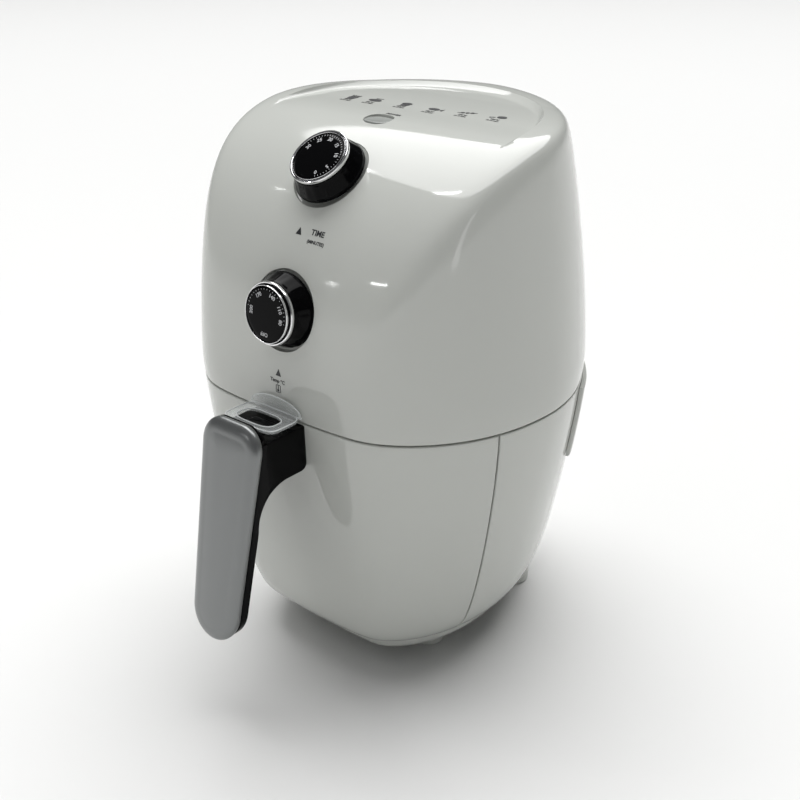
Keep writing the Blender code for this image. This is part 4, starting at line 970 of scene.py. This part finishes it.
# ------------------------------------------------------------------ handle
def cover_y(z):
    """The y of the handle cover's edge at height z."""
    return HANDLE_FACE_Y - HANDLE_LEAN * (HANDLE_TOP_Z - z)


def handle_outline(inset):
    """(x, z) round the handle, moved in by inset: rounded top corners, tapering sides and a full
    round bottom. Each stretch keeps its number of points, so the rings match."""
    corner = max(HANDLE_CORNER - inset, 0.3 * MM)
    top_half, low_half = HANDLE_TOP_HALF - inset, HANDLE_BOTTOM_HALF - inset
    top_z, low_z = HANDLE_TOP_Z - inset, HANDLE_BOTTOM_Z + HANDLE_BOTTOM_HALF
    a = np.radians(np.linspace(90, 0, 14))
    right = np.stack([top_half - corner + corner * np.cos(a), top_z - corner + corner * np.sin(a)], -1)
    b = np.radians(np.linspace(0, -180, 40))
    bottom = np.stack([low_half * np.cos(b), low_z + low_half * np.sin(b)], -1)
    share = np.linspace(0, 1, 26)[1:-1, None]
    down = right[-1] + (bottom[0] - right[-1]) * share
    flat = np.linspace(-1, 1, 12)[1:-1, None] * np.array([[top_half - corner, 0]]) + [0, top_z]
    return np.concatenate([right, down, bottom, (down * [-1, 1])[::-1], (right * [-1, 1])[::-1], flat])


class FRYER_OT_handle(bpy.types.Operator):
    """Black handle that sweeps out of the drawer and down, and its domed silver cover"""
    bl_idname = "fryer.handle"
    bl_label = "Handle"

    def execute(self, context):
        gap = COVER_BACK + 0.3 * MM
        back = front_y(SEAM_Z) + 2.0 * MM
        bend = 3 * MM

        low_centre, top_centre = HANDLE_BOTTOM_Z + HANDLE_BOTTOM_HALF, HANDLE_TOP_Z - HANDLE_CORNER

        def arc(radius, rise):
            """Half width of a circle at a height above or below its middle."""
            return math.sqrt(max(radius ** 2 - rise ** 2, 0))

        def half_at(z):
            """Half width at height z, inside the cover's outline."""
            widening = np.clip((z - HANDLE_BOTTOM_Z - HANDLE_BOTTOM_HALF) / TAPER_LENGTH, 0, 1)
            side = HANDLE_BOTTOM_HALF + (HANDLE_TOP_HALF - HANDLE_BOTTOM_HALF) * widening
            if z < low_centre:
                side = arc(HANDLE_BOTTOM_HALF, low_centre - z)
            if z > top_centre:
                side = HANDLE_TOP_HALF - HANDLE_CORNER + arc(HANDLE_CORNER, z - top_centre)
            return min(side - GRIP_INSET, GRIP_HALF)

        def ring(z, y_back, trim=0.0):
            y_front = cover_y(z) + gap
            middle, half = 0.5 * (y_front + y_back), 0.5 * (y_back - y_front)
            roundness = 7.0 + 9.0 * np.clip((half - 0.006) / 0.012, 0, 1)
            return oval(half_at(z) - trim, max(half - trim, 0.2 * MM), roundness, (0, middle), z, 104)

        rows = []
        low = HANDLE_BOTTOM_Z + 1.0 * MM
        neck_z = ROOT_BOTTOM_Z - NECK_REACH[1]
        for z in low + (neck_z - low) * np.linspace(0, 1, 40) ** 1.3:
            rows.append(ring(z, cover_y(z) + gap + GRIP_THICKNESS))
        neck_y = cover_y(neck_z) + gap + GRIP_THICKNESS
        for angle in np.radians(np.linspace(5, 90, 18)):
            rows.append(ring(neck_z + NECK_REACH[1] * math.sin(angle),
                             neck_y + NECK_REACH[0] * (1 - math.cos(angle))))
        for angle in np.radians(np.linspace(12, 90, 7)):
            rows.append(ring(ROOT_BOTTOM_Z + bend * (1 - math.cos(angle)),
                             back - bend + bend * math.sin(angle)))
        for z in np.linspace(ROOT_BOTTOM_Z + bend + 0.6 * MM, DECK_Z - 0.8 * MM, 8):
            rows.append(ring(z, back))
        fall = 0.8 * MM
        for angle in np.radians((30, 60, 90)):
            inwards = fall * (1 - math.cos(angle))
            rows.append(ring(DECK_Z - fall * (1 - math.sin(angle)), back - inwards, inwards * 0.5))
        foot = cover_y(DECK_Z) + gap + 4.5 * MM
        rows.append(ring(DECK_Z + 0.01 * MM, foot + 1.5 * MM, 0.5 * MM))
        for share in np.linspace(0.15, 1, 8):
            z = DECK_Z + (HANDLE_TOP_Z - 0.3 * MM - DECK_Z) * share
            curl = 1.6 * MM * (1 - math.cos(share * math.pi / 2))
            rows.append(ring(z, foot - share * 1.2 * MM - curl * 0.4, 0.4 * MM * share))
        well = 0.6 * MM
        pocket = block((-BUTTON_HALF - well, BUTTON_REAR_Y - BUTTON_LENGTH - well,
                        DECK_Z - BUTTON_HEIGHT - BUTTON_TRAVEL - 2 * MM),
                       (BUTTON_HALF + well, BUTTON_REAR_Y + well, DECK_Z + 0.012))
        piece("handle_core", loft_shell(rows), black_abs(), "drawer", ["handle_body"],
              [pocket], angle=42)

        # Inset and rise in mm: the back edge, a bevel of part of an ellipse, and a slight crown.
        bevel, height, last = 6.8, 3.3, 15.8
        steps = [(0.8, -2.0), (0.2, -1.7), (0.0, -1.0), (0.0, 0.0)]
        for angle in np.radians(np.linspace(7, 90, 16)):
            steps.append((bevel * (1 - math.cos(angle)), height * math.sin(angle)))
        for inset in np.linspace(7.6, last, 10):
            steps.append((inset, height + 0.7 * (1 - ((last - inset) / 9.0) ** 2)))
        rings = []
        for inset, rise in steps:
            outline = handle_outline(inset * MM)
            rings.append(np.stack([outline[:, 0], cover_y(outline[:, 1]) - rise * MM, outline[:, 1]], -1))
        piece("handle_face", loft_shell(rings), silver_paint(), "drawer", ["handle_cover"])
        return {"FINISHED"}


class FRYER_OT_release(bpy.types.Operator):
    """Ribbed release button, and the clear guard over it: a framed lid and an upright arch"""
    bl_idname = "fryer.release"
    bl_label = "Release button"

    def execute(self, context):
        centre_y = BUTTON_REAR_Y - BUTTON_LENGTH / 2
        half, length = BUTTON_HALF, BUTTON_LENGTH / 2
        low, high = DECK_Z - BUTTON_HEIGHT, DECK_Z + BUTTON_PROUD
        steps = ((0.3, low), (0, low + 0.3 * MM), (0, high - 0.9 * MM), (0.2, high - 0.35 * MM),
                 (0.6, high - 0.08 * MM), (1.3, high), (3.5, high - 0.15 * MM))
        rings = [oval(half - back * MM, length - back * MM, 9.0, (0, centre_y), z, 72) for back, z in steps]
        piece("release_slide", loft_shell(rings), black_abs(), "button", ["release_button"])
        self.coil()

        rear = front_y(SEAM_Z + GUARD_ARCH_HEIGHT / 2) - GUARD_REAR_GAP
        base = DECK_Z + GUARD_RISE
        middle_y = rear - GUARD_LENGTH / 2
        top = base + GUARD_THICKNESS
        soft = 0.35 * MM
        rim = (GUARD_HALF, GUARD_LENGTH / 2, 5.0, middle_y)
        opening = (*GUARD_OPENING, 3.2, middle_y - 1.5 * MM)

        def level_ring(shape, grow, z):
            half_x, half_y, roundness, y = shape
            return oval(half_x + grow, half_y + grow, roundness, (0, y), z, 96)

        edge_steps = ((soft, base), (0, base + soft), (0, top - soft), (soft, top))
        rings = [level_ring(rim, -back, z) for back, z in edge_steps]
        rings += [level_ring(opening, back, z) for back, z in edge_steps[::-1]]
        lid = loft_shell(rings, wrap=True)
        rise = DECK_Z + GUARD_ARCH_HEIGHT - top

        def arch_ring(shrink, y):
            """A half ellipse standing on a straight foot."""
            bow = np.linspace(0, math.pi, 56)
            foot = np.linspace(-1, 1, 18)[1:-1]
            x = np.concatenate([np.cos(bow), foot]) * (GUARD_HALF - shrink)
            z = np.concatenate([np.sin(bow) ** 0.9, 0 * foot]) * (rise - shrink)
            return np.stack([x, np.full(x.shape, y), top + z], -1)

        front = rear - GUARD_THICKNESS
        arch = loft_shell([arch_ring(soft, front), arch_ring(0, front + soft),
                           arch_ring(0, rear - soft), arch_ring(soft, rear)])
        piece("guard_lid", joined(lid, arch), polycarbonate(), "guard", ["button_guard"],
              angle=50)

        # Painted highlight: thin beads along the lid's rim, its opening and the arch, in a brighter, more
        # opaque clear finish.
        bead = 0.32 * MM
        lines = (level_ring(rim, -bead, top), level_ring(opening, bead, top),
                 arch_ring(bead, 0.5 * (front + rear)))
        piece("guard_edge_highlight", joined(*[bead_shell(line, bead) for line in lines]), polycarbonate_highlight_bead(),
              "guard", (), angle=50)
        return {"FINISHED"}

    @staticmethod
    def coil():
        """The button's spring: a circle of wire carried up a helix."""
        low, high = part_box("button_spring")
        wire, turns = 0.35 * MM, 5
        radius = 0.5 * (high.x - low.x) - wire
        share = np.linspace(0, 1, turns * 28)[:, None, None]
        around, section = 2 * math.pi * turns * share, turn(8)[None, :, None]
        radial = np.concatenate([np.cos(around), np.sin(around), 0 * around], -1)
        rise = (high.z - low.z - 2 * wire) * share + wire
        points = radial * (radius + wire * np.cos(section)) + (rise + wire * np.sin(section)) * (0, 0, 1)
        middle = 0.5 * (low + high)
        place = (middle.x, middle.y - AXIS_Y, low.z)
        spring = piece("return_spring", loft_shell(points + place), dark_metal(), "drawer", ["button_spring"],
                       angle=60)
        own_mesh(spring)


# ------------------------------------------------------------------ lettering
def lettering(text, height):
    """(points, faces) of flat raised text, centred on its own middle, height being a capital's."""
    curve = bpy.data.curves.new("lettering", "FONT")
    curve.body, curve.size, curve.resolution_u = text, height / 0.7, 3
    curve.align_x, curve.align_y = "CENTER", "CENTER"
    curve.extrude = 0.03 * MM
    curve.offset = 0.035 * height
    item = bpy.data.objects.new("lettering", curve)
    mesh = bpy.data.meshes.new_from_object(item)
    points = np.zeros(len(mesh.vertices) * 3)
    mesh.vertices.foreach_get("co", points)
    faces = [list(face.vertices) for face in mesh.polygons]
    bpy.data.objects.remove(item)
    bpy.data.meshes.remove(mesh)
    return points.reshape(-1, 3), faces


def plate(outline):
    """(points, faces) of a thin raised shape with the given (x, y) outline."""
    outline = np.asarray(outline, float)
    rings = [np.column_stack([outline, np.full(len(outline), z)]) for z in (-0.04 * MM, 0.04 * MM)]
    return loft_shell(rings)


def moved(shell, across=0.0, up=0.0, angle=0.0):
    """A flat shape turned by angle and moved across and up."""
    points, faces = shell
    cos, sin = math.cos(angle), math.sin(angle)
    x, y = points[:, 0] * cos - points[:, 1] * sin, points[:, 0] * sin + points[:, 1] * cos
    return np.column_stack([x + across, y + up, points[:, 2]]), faces


def wrapped(shell, centre, normal, upwards):
    """Lay a flat shape on the skin round a centre: each point is sent along the normal to the skin
    and keeps its own height above it."""
    points, faces = shell
    normal = Vector(normal).normalized()
    side = Vector(upwards).cross(normal).normalized()
    above = normal.cross(side)
    origin = np.array(centre) - 0.02 * np.array(normal)
    origin = origin + points[:, :1] * np.array(side) + points[:, 1:2] * np.array(above)
    landed = skin_point(origin, np.array(normal))
    landed[:, 2] -= panel_sink(landed[:, 0], landed[:, 1]) * (normal.z > 0.8)
    return landed + (points[:, 2:] + 0.10 * MM) * np.array(normal), faces


def ellipse_outline(half_x, half_y, x=0.0, y=0.0, start=0.0, end=360.0, count=24):
    """(x, y) points on an ellipse or on part of one."""
    a = np.radians(np.linspace(start, end, count, endpoint=(end - start) < 360))
    return np.stack([x + half_x * np.cos(a), y + half_y * np.sin(a)], -1)


def bar(x0, y0, x1, y1, thickness):
    """Outline of a straight bar between two points."""
    along = np.array([x1 - x0, y1 - y0])
    across = np.array([-along[1], along[0]]) / np.linalg.norm(along) * thickness / 2
    start, end = np.array([x0, y0]), np.array([x1, y1])
    return np.stack([start - across, end - across, end + across, start + across])


def patch(points):
    """A thin raised shape with the given outline in millimetres."""
    return plate(np.array(points) * MM)


def spot(half_x, half_y, x=0.0, y=0.0, start=0.0, end=360.0):
    """A thin raised ellipse, or a part of one, in millimetres."""
    return plate(ellipse_outline(half_x * MM, half_y * MM, x * MM, y * MM, start, end))


def stroke(x0, y0, x1, y1, thickness):
    """A thin raised bar in millimetres."""
    return plate(bar(x0 * MM, y0 * MM, x1 * MM, y1 * MM, thickness * MM))


def food_symbols():
    """Six plain symbols, about 8 mm across: fries, fillet, cake, fish, skewer and drumstick."""
    fries = [patch([(-2.4, 0.4), (2.4, 0.4), (1.8, -2.4), (-1.8, -2.4)])]
    fries += [stroke(x, 0.7, 1.25 * x, 3.0, 0.7) for x in (-1.6, -0.5, 0.6, 1.7)]
    fillet = [spot(3.4, 1.7), stroke(-1.2, 2.4, 2.4, 2.9, 0.5)]
    cake = [patch([(-2.2, 0), (2.2, 0), (1.6, -2.4), (-1.6, -2.4)]), spot(2.6, 2.0, 0, 0.4, 0, 180)]
    fish = [spot(2.8, 1.5, -0.4), patch([(2.5, 0), (4.2, 1.5), (4.2, -1.5)])]
    skewer = [stroke(-4, -1.6, 4, 1.6, 0.35)] + [spot(0.9, 0.9, x, 0.4 * x) for x in (-2, 0, 2)]
    drumstick = [spot(2.2, 1.7, 0.8, 0.4), stroke(-1.7, -0.6, -3.4, -1.4, 0.7), spot(0.6, 0.6, -3.6, -1.6)]
    return [joined(*parts) for parts in (fries, fillet, cake, fish, skewer, drumstick)]


class FRYER_OT_legends(bpy.types.Operator):
    """Print on the housing: pointers, plain words, a thermometer and the food symbols"""
    bl_idname = "fryer.legends"
    bl_label = "Legends"

    def execute(self, context):
        def on_front(shell, x, z):
            """Lay a shape on the sloping front at height z."""
            here, above = front_y(z - 0.001), front_y(z + 0.001)
            normal = (0, -0.002, above - here)
            return wrapped(shell, (x, front_y(z), z), normal, (0, 0, 1))

        def on_deck(shell, x, y):
            """Lay a shape on the deck at a place in millimetres."""
            return wrapped(shell, (x * MM, y * MM, DECK_HEIGHT), (0, 0, 1), (0, 1, 0))

        pointer = patch([(-1.9, -1.7), (1.9, -1.7), (0, 2.0)])
        parts = [on_front(pointer, -0.8 * MM, 0.2464),
                 on_front(lettering("TIME", 2.8 * MM), 11.3 * MM, 0.2472),
                 on_front(lettering("(MINUTES)", 1.65 * MM), 11.6 * MM, 0.2431),
                 on_front(pointer, 0, 0.1775), on_front(lettering("Temp °C", 1.9 * MM), -0.6 * MM, 0.1730)]
        thermometer = [stroke(0, -0.2, 0, 1.6, 0.5), spot(0.7, 0.7, 0, -0.8)]
        thermometer += [stroke(x, -1.9, x, 1.9, 0.3) for x in (-1.5, 1.5)]
        thermometer += [stroke(-1.2, y, 1.2, y, 0.3) for y in (-1.9, 1.9)]
        parts.append(on_front(joined(*thermometer), 0, 0.1690))
        piece("front_print", joined(*parts), dark_print(), "housing", (), angle=80)

        deck = []
        places = ((-45, 15.7), (-30, 16.7), (-9.8, 18.6), (9.8, 18.6), (28.5, 22), (47.5, 24))
        for (x, y), symbol in zip(places, food_symbols()):
            drawn = (symbol[0] * (1.25, 1.25, 1), symbol[1])
            parts = [moved(drawn, 0, 2.6 * MM), moved(lettering("180°C", 1.5 * MM), 0, -1.9 * MM),
                     moved(lettering("12-15 MIN", 1.2 * MM), 0, -4.2 * MM)]
            deck.append(on_deck(joined(*parts), x, y))
        deck.append(on_deck(lettering("POWER", 1.9 * MM), -1.5, 1.4))
        piece("deck_print", joined(*deck), dark_print(), "housing", (), angle=80)
        return {"FINISHED"}


# ------------------------------------------------------------------ knobs
def round_bar(centre, height, across, up, count=14):
    """A closed rounded section for a ring, as (radius, height): a superellipse."""
    return oval(across, up, 2 / 0.6, (centre, height), 0.0, count)[:, :2]


class FRYER_OT_knobs(bpy.types.Operator):
    """Both knobs: flared ribbed body, double bright ring, glossy dial and its print"""
    bl_idname = "fryer.knobs"
    bl_label = "Knobs"

    def execute(self, context):
        for label in KNOBS:
            matrix, body = knob_matrix(label), label + "_knob"
            low, high = KNOB_STANDOFF, KNOB_STANDOFF + KNOB_HEIGHT
            base, neck, deep, bottom = KNOB_BASE_RADIUS, KNOB_NECK_RADIUS, low - KNOB_SKIRT, low + 6.3 * MM
            share = np.linspace(0, 1, 16)
            radius = neck + (base - neck) * (1 - share) ** 1.25
            side = np.stack([radius, low + 1.0 * MM + (high - low - 1.8 * MM) * share], -1)
            skirt = [(1 * MM, bottom), (SHAFT_WELL, bottom), (SHAFT_WELL, deep), (base, deep),
                     (base + 0.2 * MM, deep + 0.2 * MM), (base + 0.2 * MM, low - 0.1 * MM),
                     (base - 0.05 * MM, low + 0.1 * MM), (base - 0.05 * MM, low + 0.5 * MM)]
            shoulder = [(neck - 0.2 * MM, high - 0.25 * MM), (neck - 0.8 * MM, high), (1 * MM, high)]
            grip = turned_shell(np.concatenate([skirt, side, shoulder]), matrix, 240, ribs=sizes().ribs,
                                rib_height=sizes().rib_height)
            piece(label + "_knob_grip", grip, black_abs(), body, [label + "_knob_body"])

            band_z = high + 0.05 * MM
            seat = band_z + DIAL_LIFT[label]
            band = round_bar(15.45 * MM, band_z + 1.1 * MM, 0.6 * MM, 1.1 * MM)
            line = round_bar(14.35 * MM, seat + 1.3 * MM, 0.22 * MM, 0.7 * MM)
            rings = [turned_shell(section, matrix, 140, wrap=True) for section in (band, line)]
            piece(label + "_knob_rings", joined(*rings), chrome(), body, [label + "_knob_ring"])

            edge = [(DIAL_RADIUS, band_z), (DIAL_RADIUS + 1.2 * MM, band_z)]
            edge += [(DIAL_RADIUS + out * MM, seat + up * MM)
                     for out, up in ((1.2, 0.7), (0.9, 1.0), (0.3, 0.8), (0.3, 1.1), (0.1, 1.45))]
            crown = [(DIAL_RADIUS * r, seat + (1.9 - 0.2 * r * r) * MM) for r in np.linspace(0.96, 0.03, 10)]
            piece(label + "_knob_dial", turned_shell(edge + crown, matrix, 120), black_abs(), body,
                  [label + "_knob_face"])
            self.print_dial(label, matrix, seat)
        return {"FINISHED"}

    @staticmethod
    def print_dial(label, matrix, seat):
        """Numbers, strokes and dots round a dial, sitting on its slight crown."""
        if label == "timer":
            marks = [("30", 158), ("25", 122), ("20", 86), ("15", 50), ("10", 14), ("5", -28), ("0", -64)]
            ticks = np.arange(-64, 159, 7.2)
        else:
            marks = [("80", -10), ("110", 25), ("140", 68), ("170", 122), ("200", 178), ("OFF", -94)]
            ticks = np.arange(-10, 179, 9.0)
        parts = []
        reach, inner, outer = 10.2 * MM, 12.3, 12.9
        for text, degrees in marks:
            angle = math.radians(degrees)
            parts.append(moved(lettering(text, 2.0 * MM), reach * math.cos(angle),
                               reach * math.sin(angle), angle - math.pi / 2))
        for angle in np.radians(ticks):
            cos, sin = math.cos(angle), math.sin(angle)
            parts.append(stroke(inner * cos, inner * sin, outer * cos, outer * sin, 0.25))
        points, faces = joined(*parts)
        radius = np.hypot(points[:, 0], points[:, 1]) / DIAL_RADIUS
        points[:, 2] += seat + (1.95 - 0.2 * radius ** 2) * MM
        piece(label + "_knob_print", (placed(points, matrix), faces), pale_print(), label + "_knob",
              (), angle=80)


class FRYER_OT_indicator(bpy.types.Operator):
    """Oval indicator window, slightly sunk in the deck, and its lamp"""
    bl_idname = "fryer.indicator"
    bl_label = "Indicator"

    def execute(self, context):
        deck_z = float(skin_point((LENS_X, LENS_Y, SEAM_Z), (0, 0, 1))[2])
        top = deck_z - float(panel_sink(LENS_X, LENS_Y)) - 0.35 * MM
        steps = ((0.3, 2.4), (0, 2.2), (0, 0.5), (0.2, 0.15), (0.7, 0), (2.2, 0.1), (4.5, 0.3))
        rings = [lens_ring(shrink * MM, top - depth * MM) for shrink, depth in steps]
        piece("indicator_window", loft_shell(rings), frosted_window(), "housing", ["indicator_lens"])
        paint(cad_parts["indicator_lamp"], amber())
        return {"FINISHED"}


class FRYER_OT_works(bpy.types.Operator):
    """Finishes for the nodes that keep their own shape: chamber, fans, motor and controls"""
    bl_idname = "fryer.works"
    bl_label = "Works"

    def execute(self, context):
        groups = {bright_sheet: ["chamber_wall", "heater_deck", "reflector_dome", "motor_plate",
                                 "motor_shaft", "convection_fan", "basket_bracket", "timer_movement",
                                 "timer_bell", "timer_shaft", "temperature_shaft"],
                  dark_metal: ["heating_element", "fan_motor", "cooling_fan", "thermostat", "drawer_switch",
                               "thermal_cutout"],
                  black_abs: ["pan_mount_right", "pan_mount_left"]}
        for make, names in groups.items():
            for name in names:
                paint(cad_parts[name], make())
        return {"FINISHED"}


# ------------------------------------------------------------------ stage
def towards(azimuth, elevation):
    """The direction at an azimuth from the front and an elevation above the floor."""
    level = math.cos(elevation)
    return Vector((math.sin(azimuth) * level, -math.cos(azimuth) * level, math.sin(elevation)))


class FRYER_OT_stage(bpy.types.Operator):
    """Pale floor that sweeps up into a low round wall, soft lights and the camera"""
    bl_idname = "fryer.stage"
    bl_label = "Stage"

    def execute(self, context):
        stage = context.scene.fryer_stage
        around = turn(96)
        profile = [(r, 0.0) for r in np.linspace(0.02, FLOOR_RADIUS, 22)]
        profile += [(FLOOR_RADIUS + SWEEP_RADIUS * math.sin(a), SWEEP_RADIUS - SWEEP_RADIUS * math.cos(a))
                    for a in np.radians(np.linspace(6, 90, 14))]
        profile += [(FLOOR_RADIUS + SWEEP_RADIUS, WALL_TOP)]
        rings = [np.stack([r * np.cos(around), r * np.sin(around), 0 * around + z], -1) for r, z in profile]
        points = np.concatenate(rings)
        faces = grid_faces(len(rings), len(around)) + [list(range(len(around)))[::-1]]
        mesh = bpy.data.meshes.new("floor")
        mesh.from_pydata(points.tolist(), [], faces)
        paper = finish("matt_white_paper", colours().floor, 0.85, [("Specular IOR Level", 0.2)],
                       grain=1.2 * MM, grain_depth=0.01 * MM, mottle=0.01)
        tree = paper.node_tree
        rise = add_node(tree, "ShaderNodeSeparateXYZ",
                        [("Vector", add_node(tree, "ShaderNodeTexCoord").outputs["Object"])]).outputs["Z"]
        share = add_node(tree, "ShaderNodeMapRange", [("Value", rise), ("From Max", 0.7)],
                         interpolation_type="SMOOTHSTEP").outputs[0]
        tone = add_node(tree, "ShaderNodeMix", [(0, share), (6, colours().floor), (7, linear("5A5B5C"))],
                        data_type="RGBA")
        tree.links.new(tone.outputs[2], tree.nodes["Principled BSDF"].inputs["Base Color"])
        mesh.materials.append(paper)
        mesh.shade_smooth()
        new_object("floor", mesh)

        context.scene.view_settings.view_transform = "Standard"
        world = bpy.data.worlds.new("studio")
        world.use_nodes = True
        tree = world.node_tree
        sky = tree.nodes["Background"]
        sky.inputs["Strength"].default_value = stage.ambient
        aim = add_node(tree, "ShaderNodeTexCoord").outputs["Generated"]
        height = add_node(tree, "ShaderNodeSeparateXYZ", [("Vector", aim)]).outputs["Z"]
        ramp = add_node(tree, "ShaderNodeMapRange",
                        [("Value", height), ("From Min", 0.05), ("From Max", 0.75)],
                        interpolation_type="SMOOTHSTEP").outputs[0]
        tone = add_node(tree, "ShaderNodeMix", [(0, ramp), (6, linear("363738")), (7, linear("FCFDFF"))],
                        data_type="RGBA")
        tree.links.new(tone.outputs[2], sky.inputs["Color"])
        context.scene.world = world

        centre = Vector((0.0, -0.03, 0.23))

        def lamp(name, kind, azimuth, elevation, power, **shape):
            """A lamp at a direction from the middle of the front, aimed back at it."""
            away = towards(math.radians(azimuth), math.radians(elevation))
            light = bpy.data.lights.new(name, kind)
            light.energy = power
            for key, value in shape.items():
                setattr(light, key, value)
            item = new_object(name, light)
            item.location = centre + away * LAMP_DISTANCE
            item.rotation_euler = away.to_track_quat("Z", "Y").to_euler()
            return item

        lamp("overhead_diffuser", "SUN", -148, 67, stage.key, angle=math.radians(66))
        fill = lamp("front_fill", "SUN", -40, 36, 0.75, angle=math.radians(80), specular_factor=0.0)
        fill.visible_glossy = False
        lamp("right_strip", "AREA", 70, 10, 0.4, shape="RECTANGLE", size=0.12, size_y=0.6)
        for number, (azimuth, elevation, width, height) in enumerate(SLITS):
            lamp(f"slit_lamp_{number}", "AREA", azimuth, elevation, SLIT_WATTS_PER_AREA * width * height,
                 shape="RECTANGLE", size=width, size_y=height)

        back = towards(stage.azimuth, stage.elevation)
        right = Vector((0, 0, 1)).cross(back).normalized()
        up = back.cross(right)
        cos, sin = math.cos(stage.roll), math.sin(stage.roll)
        across, above = right * cos + up * sin, up * cos - right * sin
        lens = bpy.data.cameras.new("camera")
        lens.sensor_width, lens.lens, lens.clip_start = 36.0, stage.lens, 0.01
        camera = new_object("camera", lens)
        turned = Matrix((across, above, back)).transposed().to_4x4()
        camera.matrix_world = Matrix.Translation(Vector(stage.target) + back * stage.distance) @ turned
        context.scene.camera = camera
        return {"FINISHED"}


STEPS = (FRYER_OT_stage, FRYER_OT_upper_housing, FRYER_OT_lower_housing, FRYER_OT_drawer_face,
         FRYER_OT_rear_fittings, FRYER_OT_base, FRYER_OT_pan, FRYER_OT_basket, FRYER_OT_handle,
         FRYER_OT_release, FRYER_OT_knobs, FRYER_OT_indicator, FRYER_OT_legends, FRYER_OT_works)


class FRYER_PT_sidebar(bpy.types.Panel):
    """Lists the pieces and the settings"""
    bl_label = "Fryer"
    bl_space_type = "VIEW_3D"
    bl_region_type = "UI"
    bl_category = "Fryer"

    def draw(self, context):
        for group in (context.scene.fryer_sizes, context.scene.fryer_colours, context.scene.fryer_stage):
            box = self.layout.box()
            for name in group.bl_rna.properties.keys():
                if name not in ("rna_type", "name"):
                    box.prop(group, name)
        column = self.layout.column(align=True)
        for step in STEPS:
            column.operator(step.bl_idname)


SETTINGS = (("fryer_colours", FryerColours), ("fryer_sizes", FryerSizes), ("fryer_stage", FryerStage))


def register():
    """Register the settings, the operators and the panel."""
    for name, group in SETTINGS:
        bpy.utils.register_class(group)
        setattr(bpy.types.Scene, name, bpy.props.PointerProperty(type=group))
    for step in STEPS + (FRYER_PT_sidebar,):
        bpy.utils.register_class(step)


def unregister():
    """Remove what register added."""
    for step in (FRYER_PT_sidebar,) + STEPS[::-1]:
        bpy.utils.unregister_class(step)
    for name, group in SETTINGS[::-1]:
        delattr(bpy.types.Scene, name)
        bpy.utils.unregister_class(group)


def main():
    register()
    for step in STEPS:
        module, name = step.bl_idname.split(".")
        if getattr(getattr(bpy.ops, module), name)() != {"FINISHED"}:
            raise RuntimeError(f"{step.bl_label} did not finish")
    bpy.context.view_layer.update()


if __name__ == "__main__":
    main()
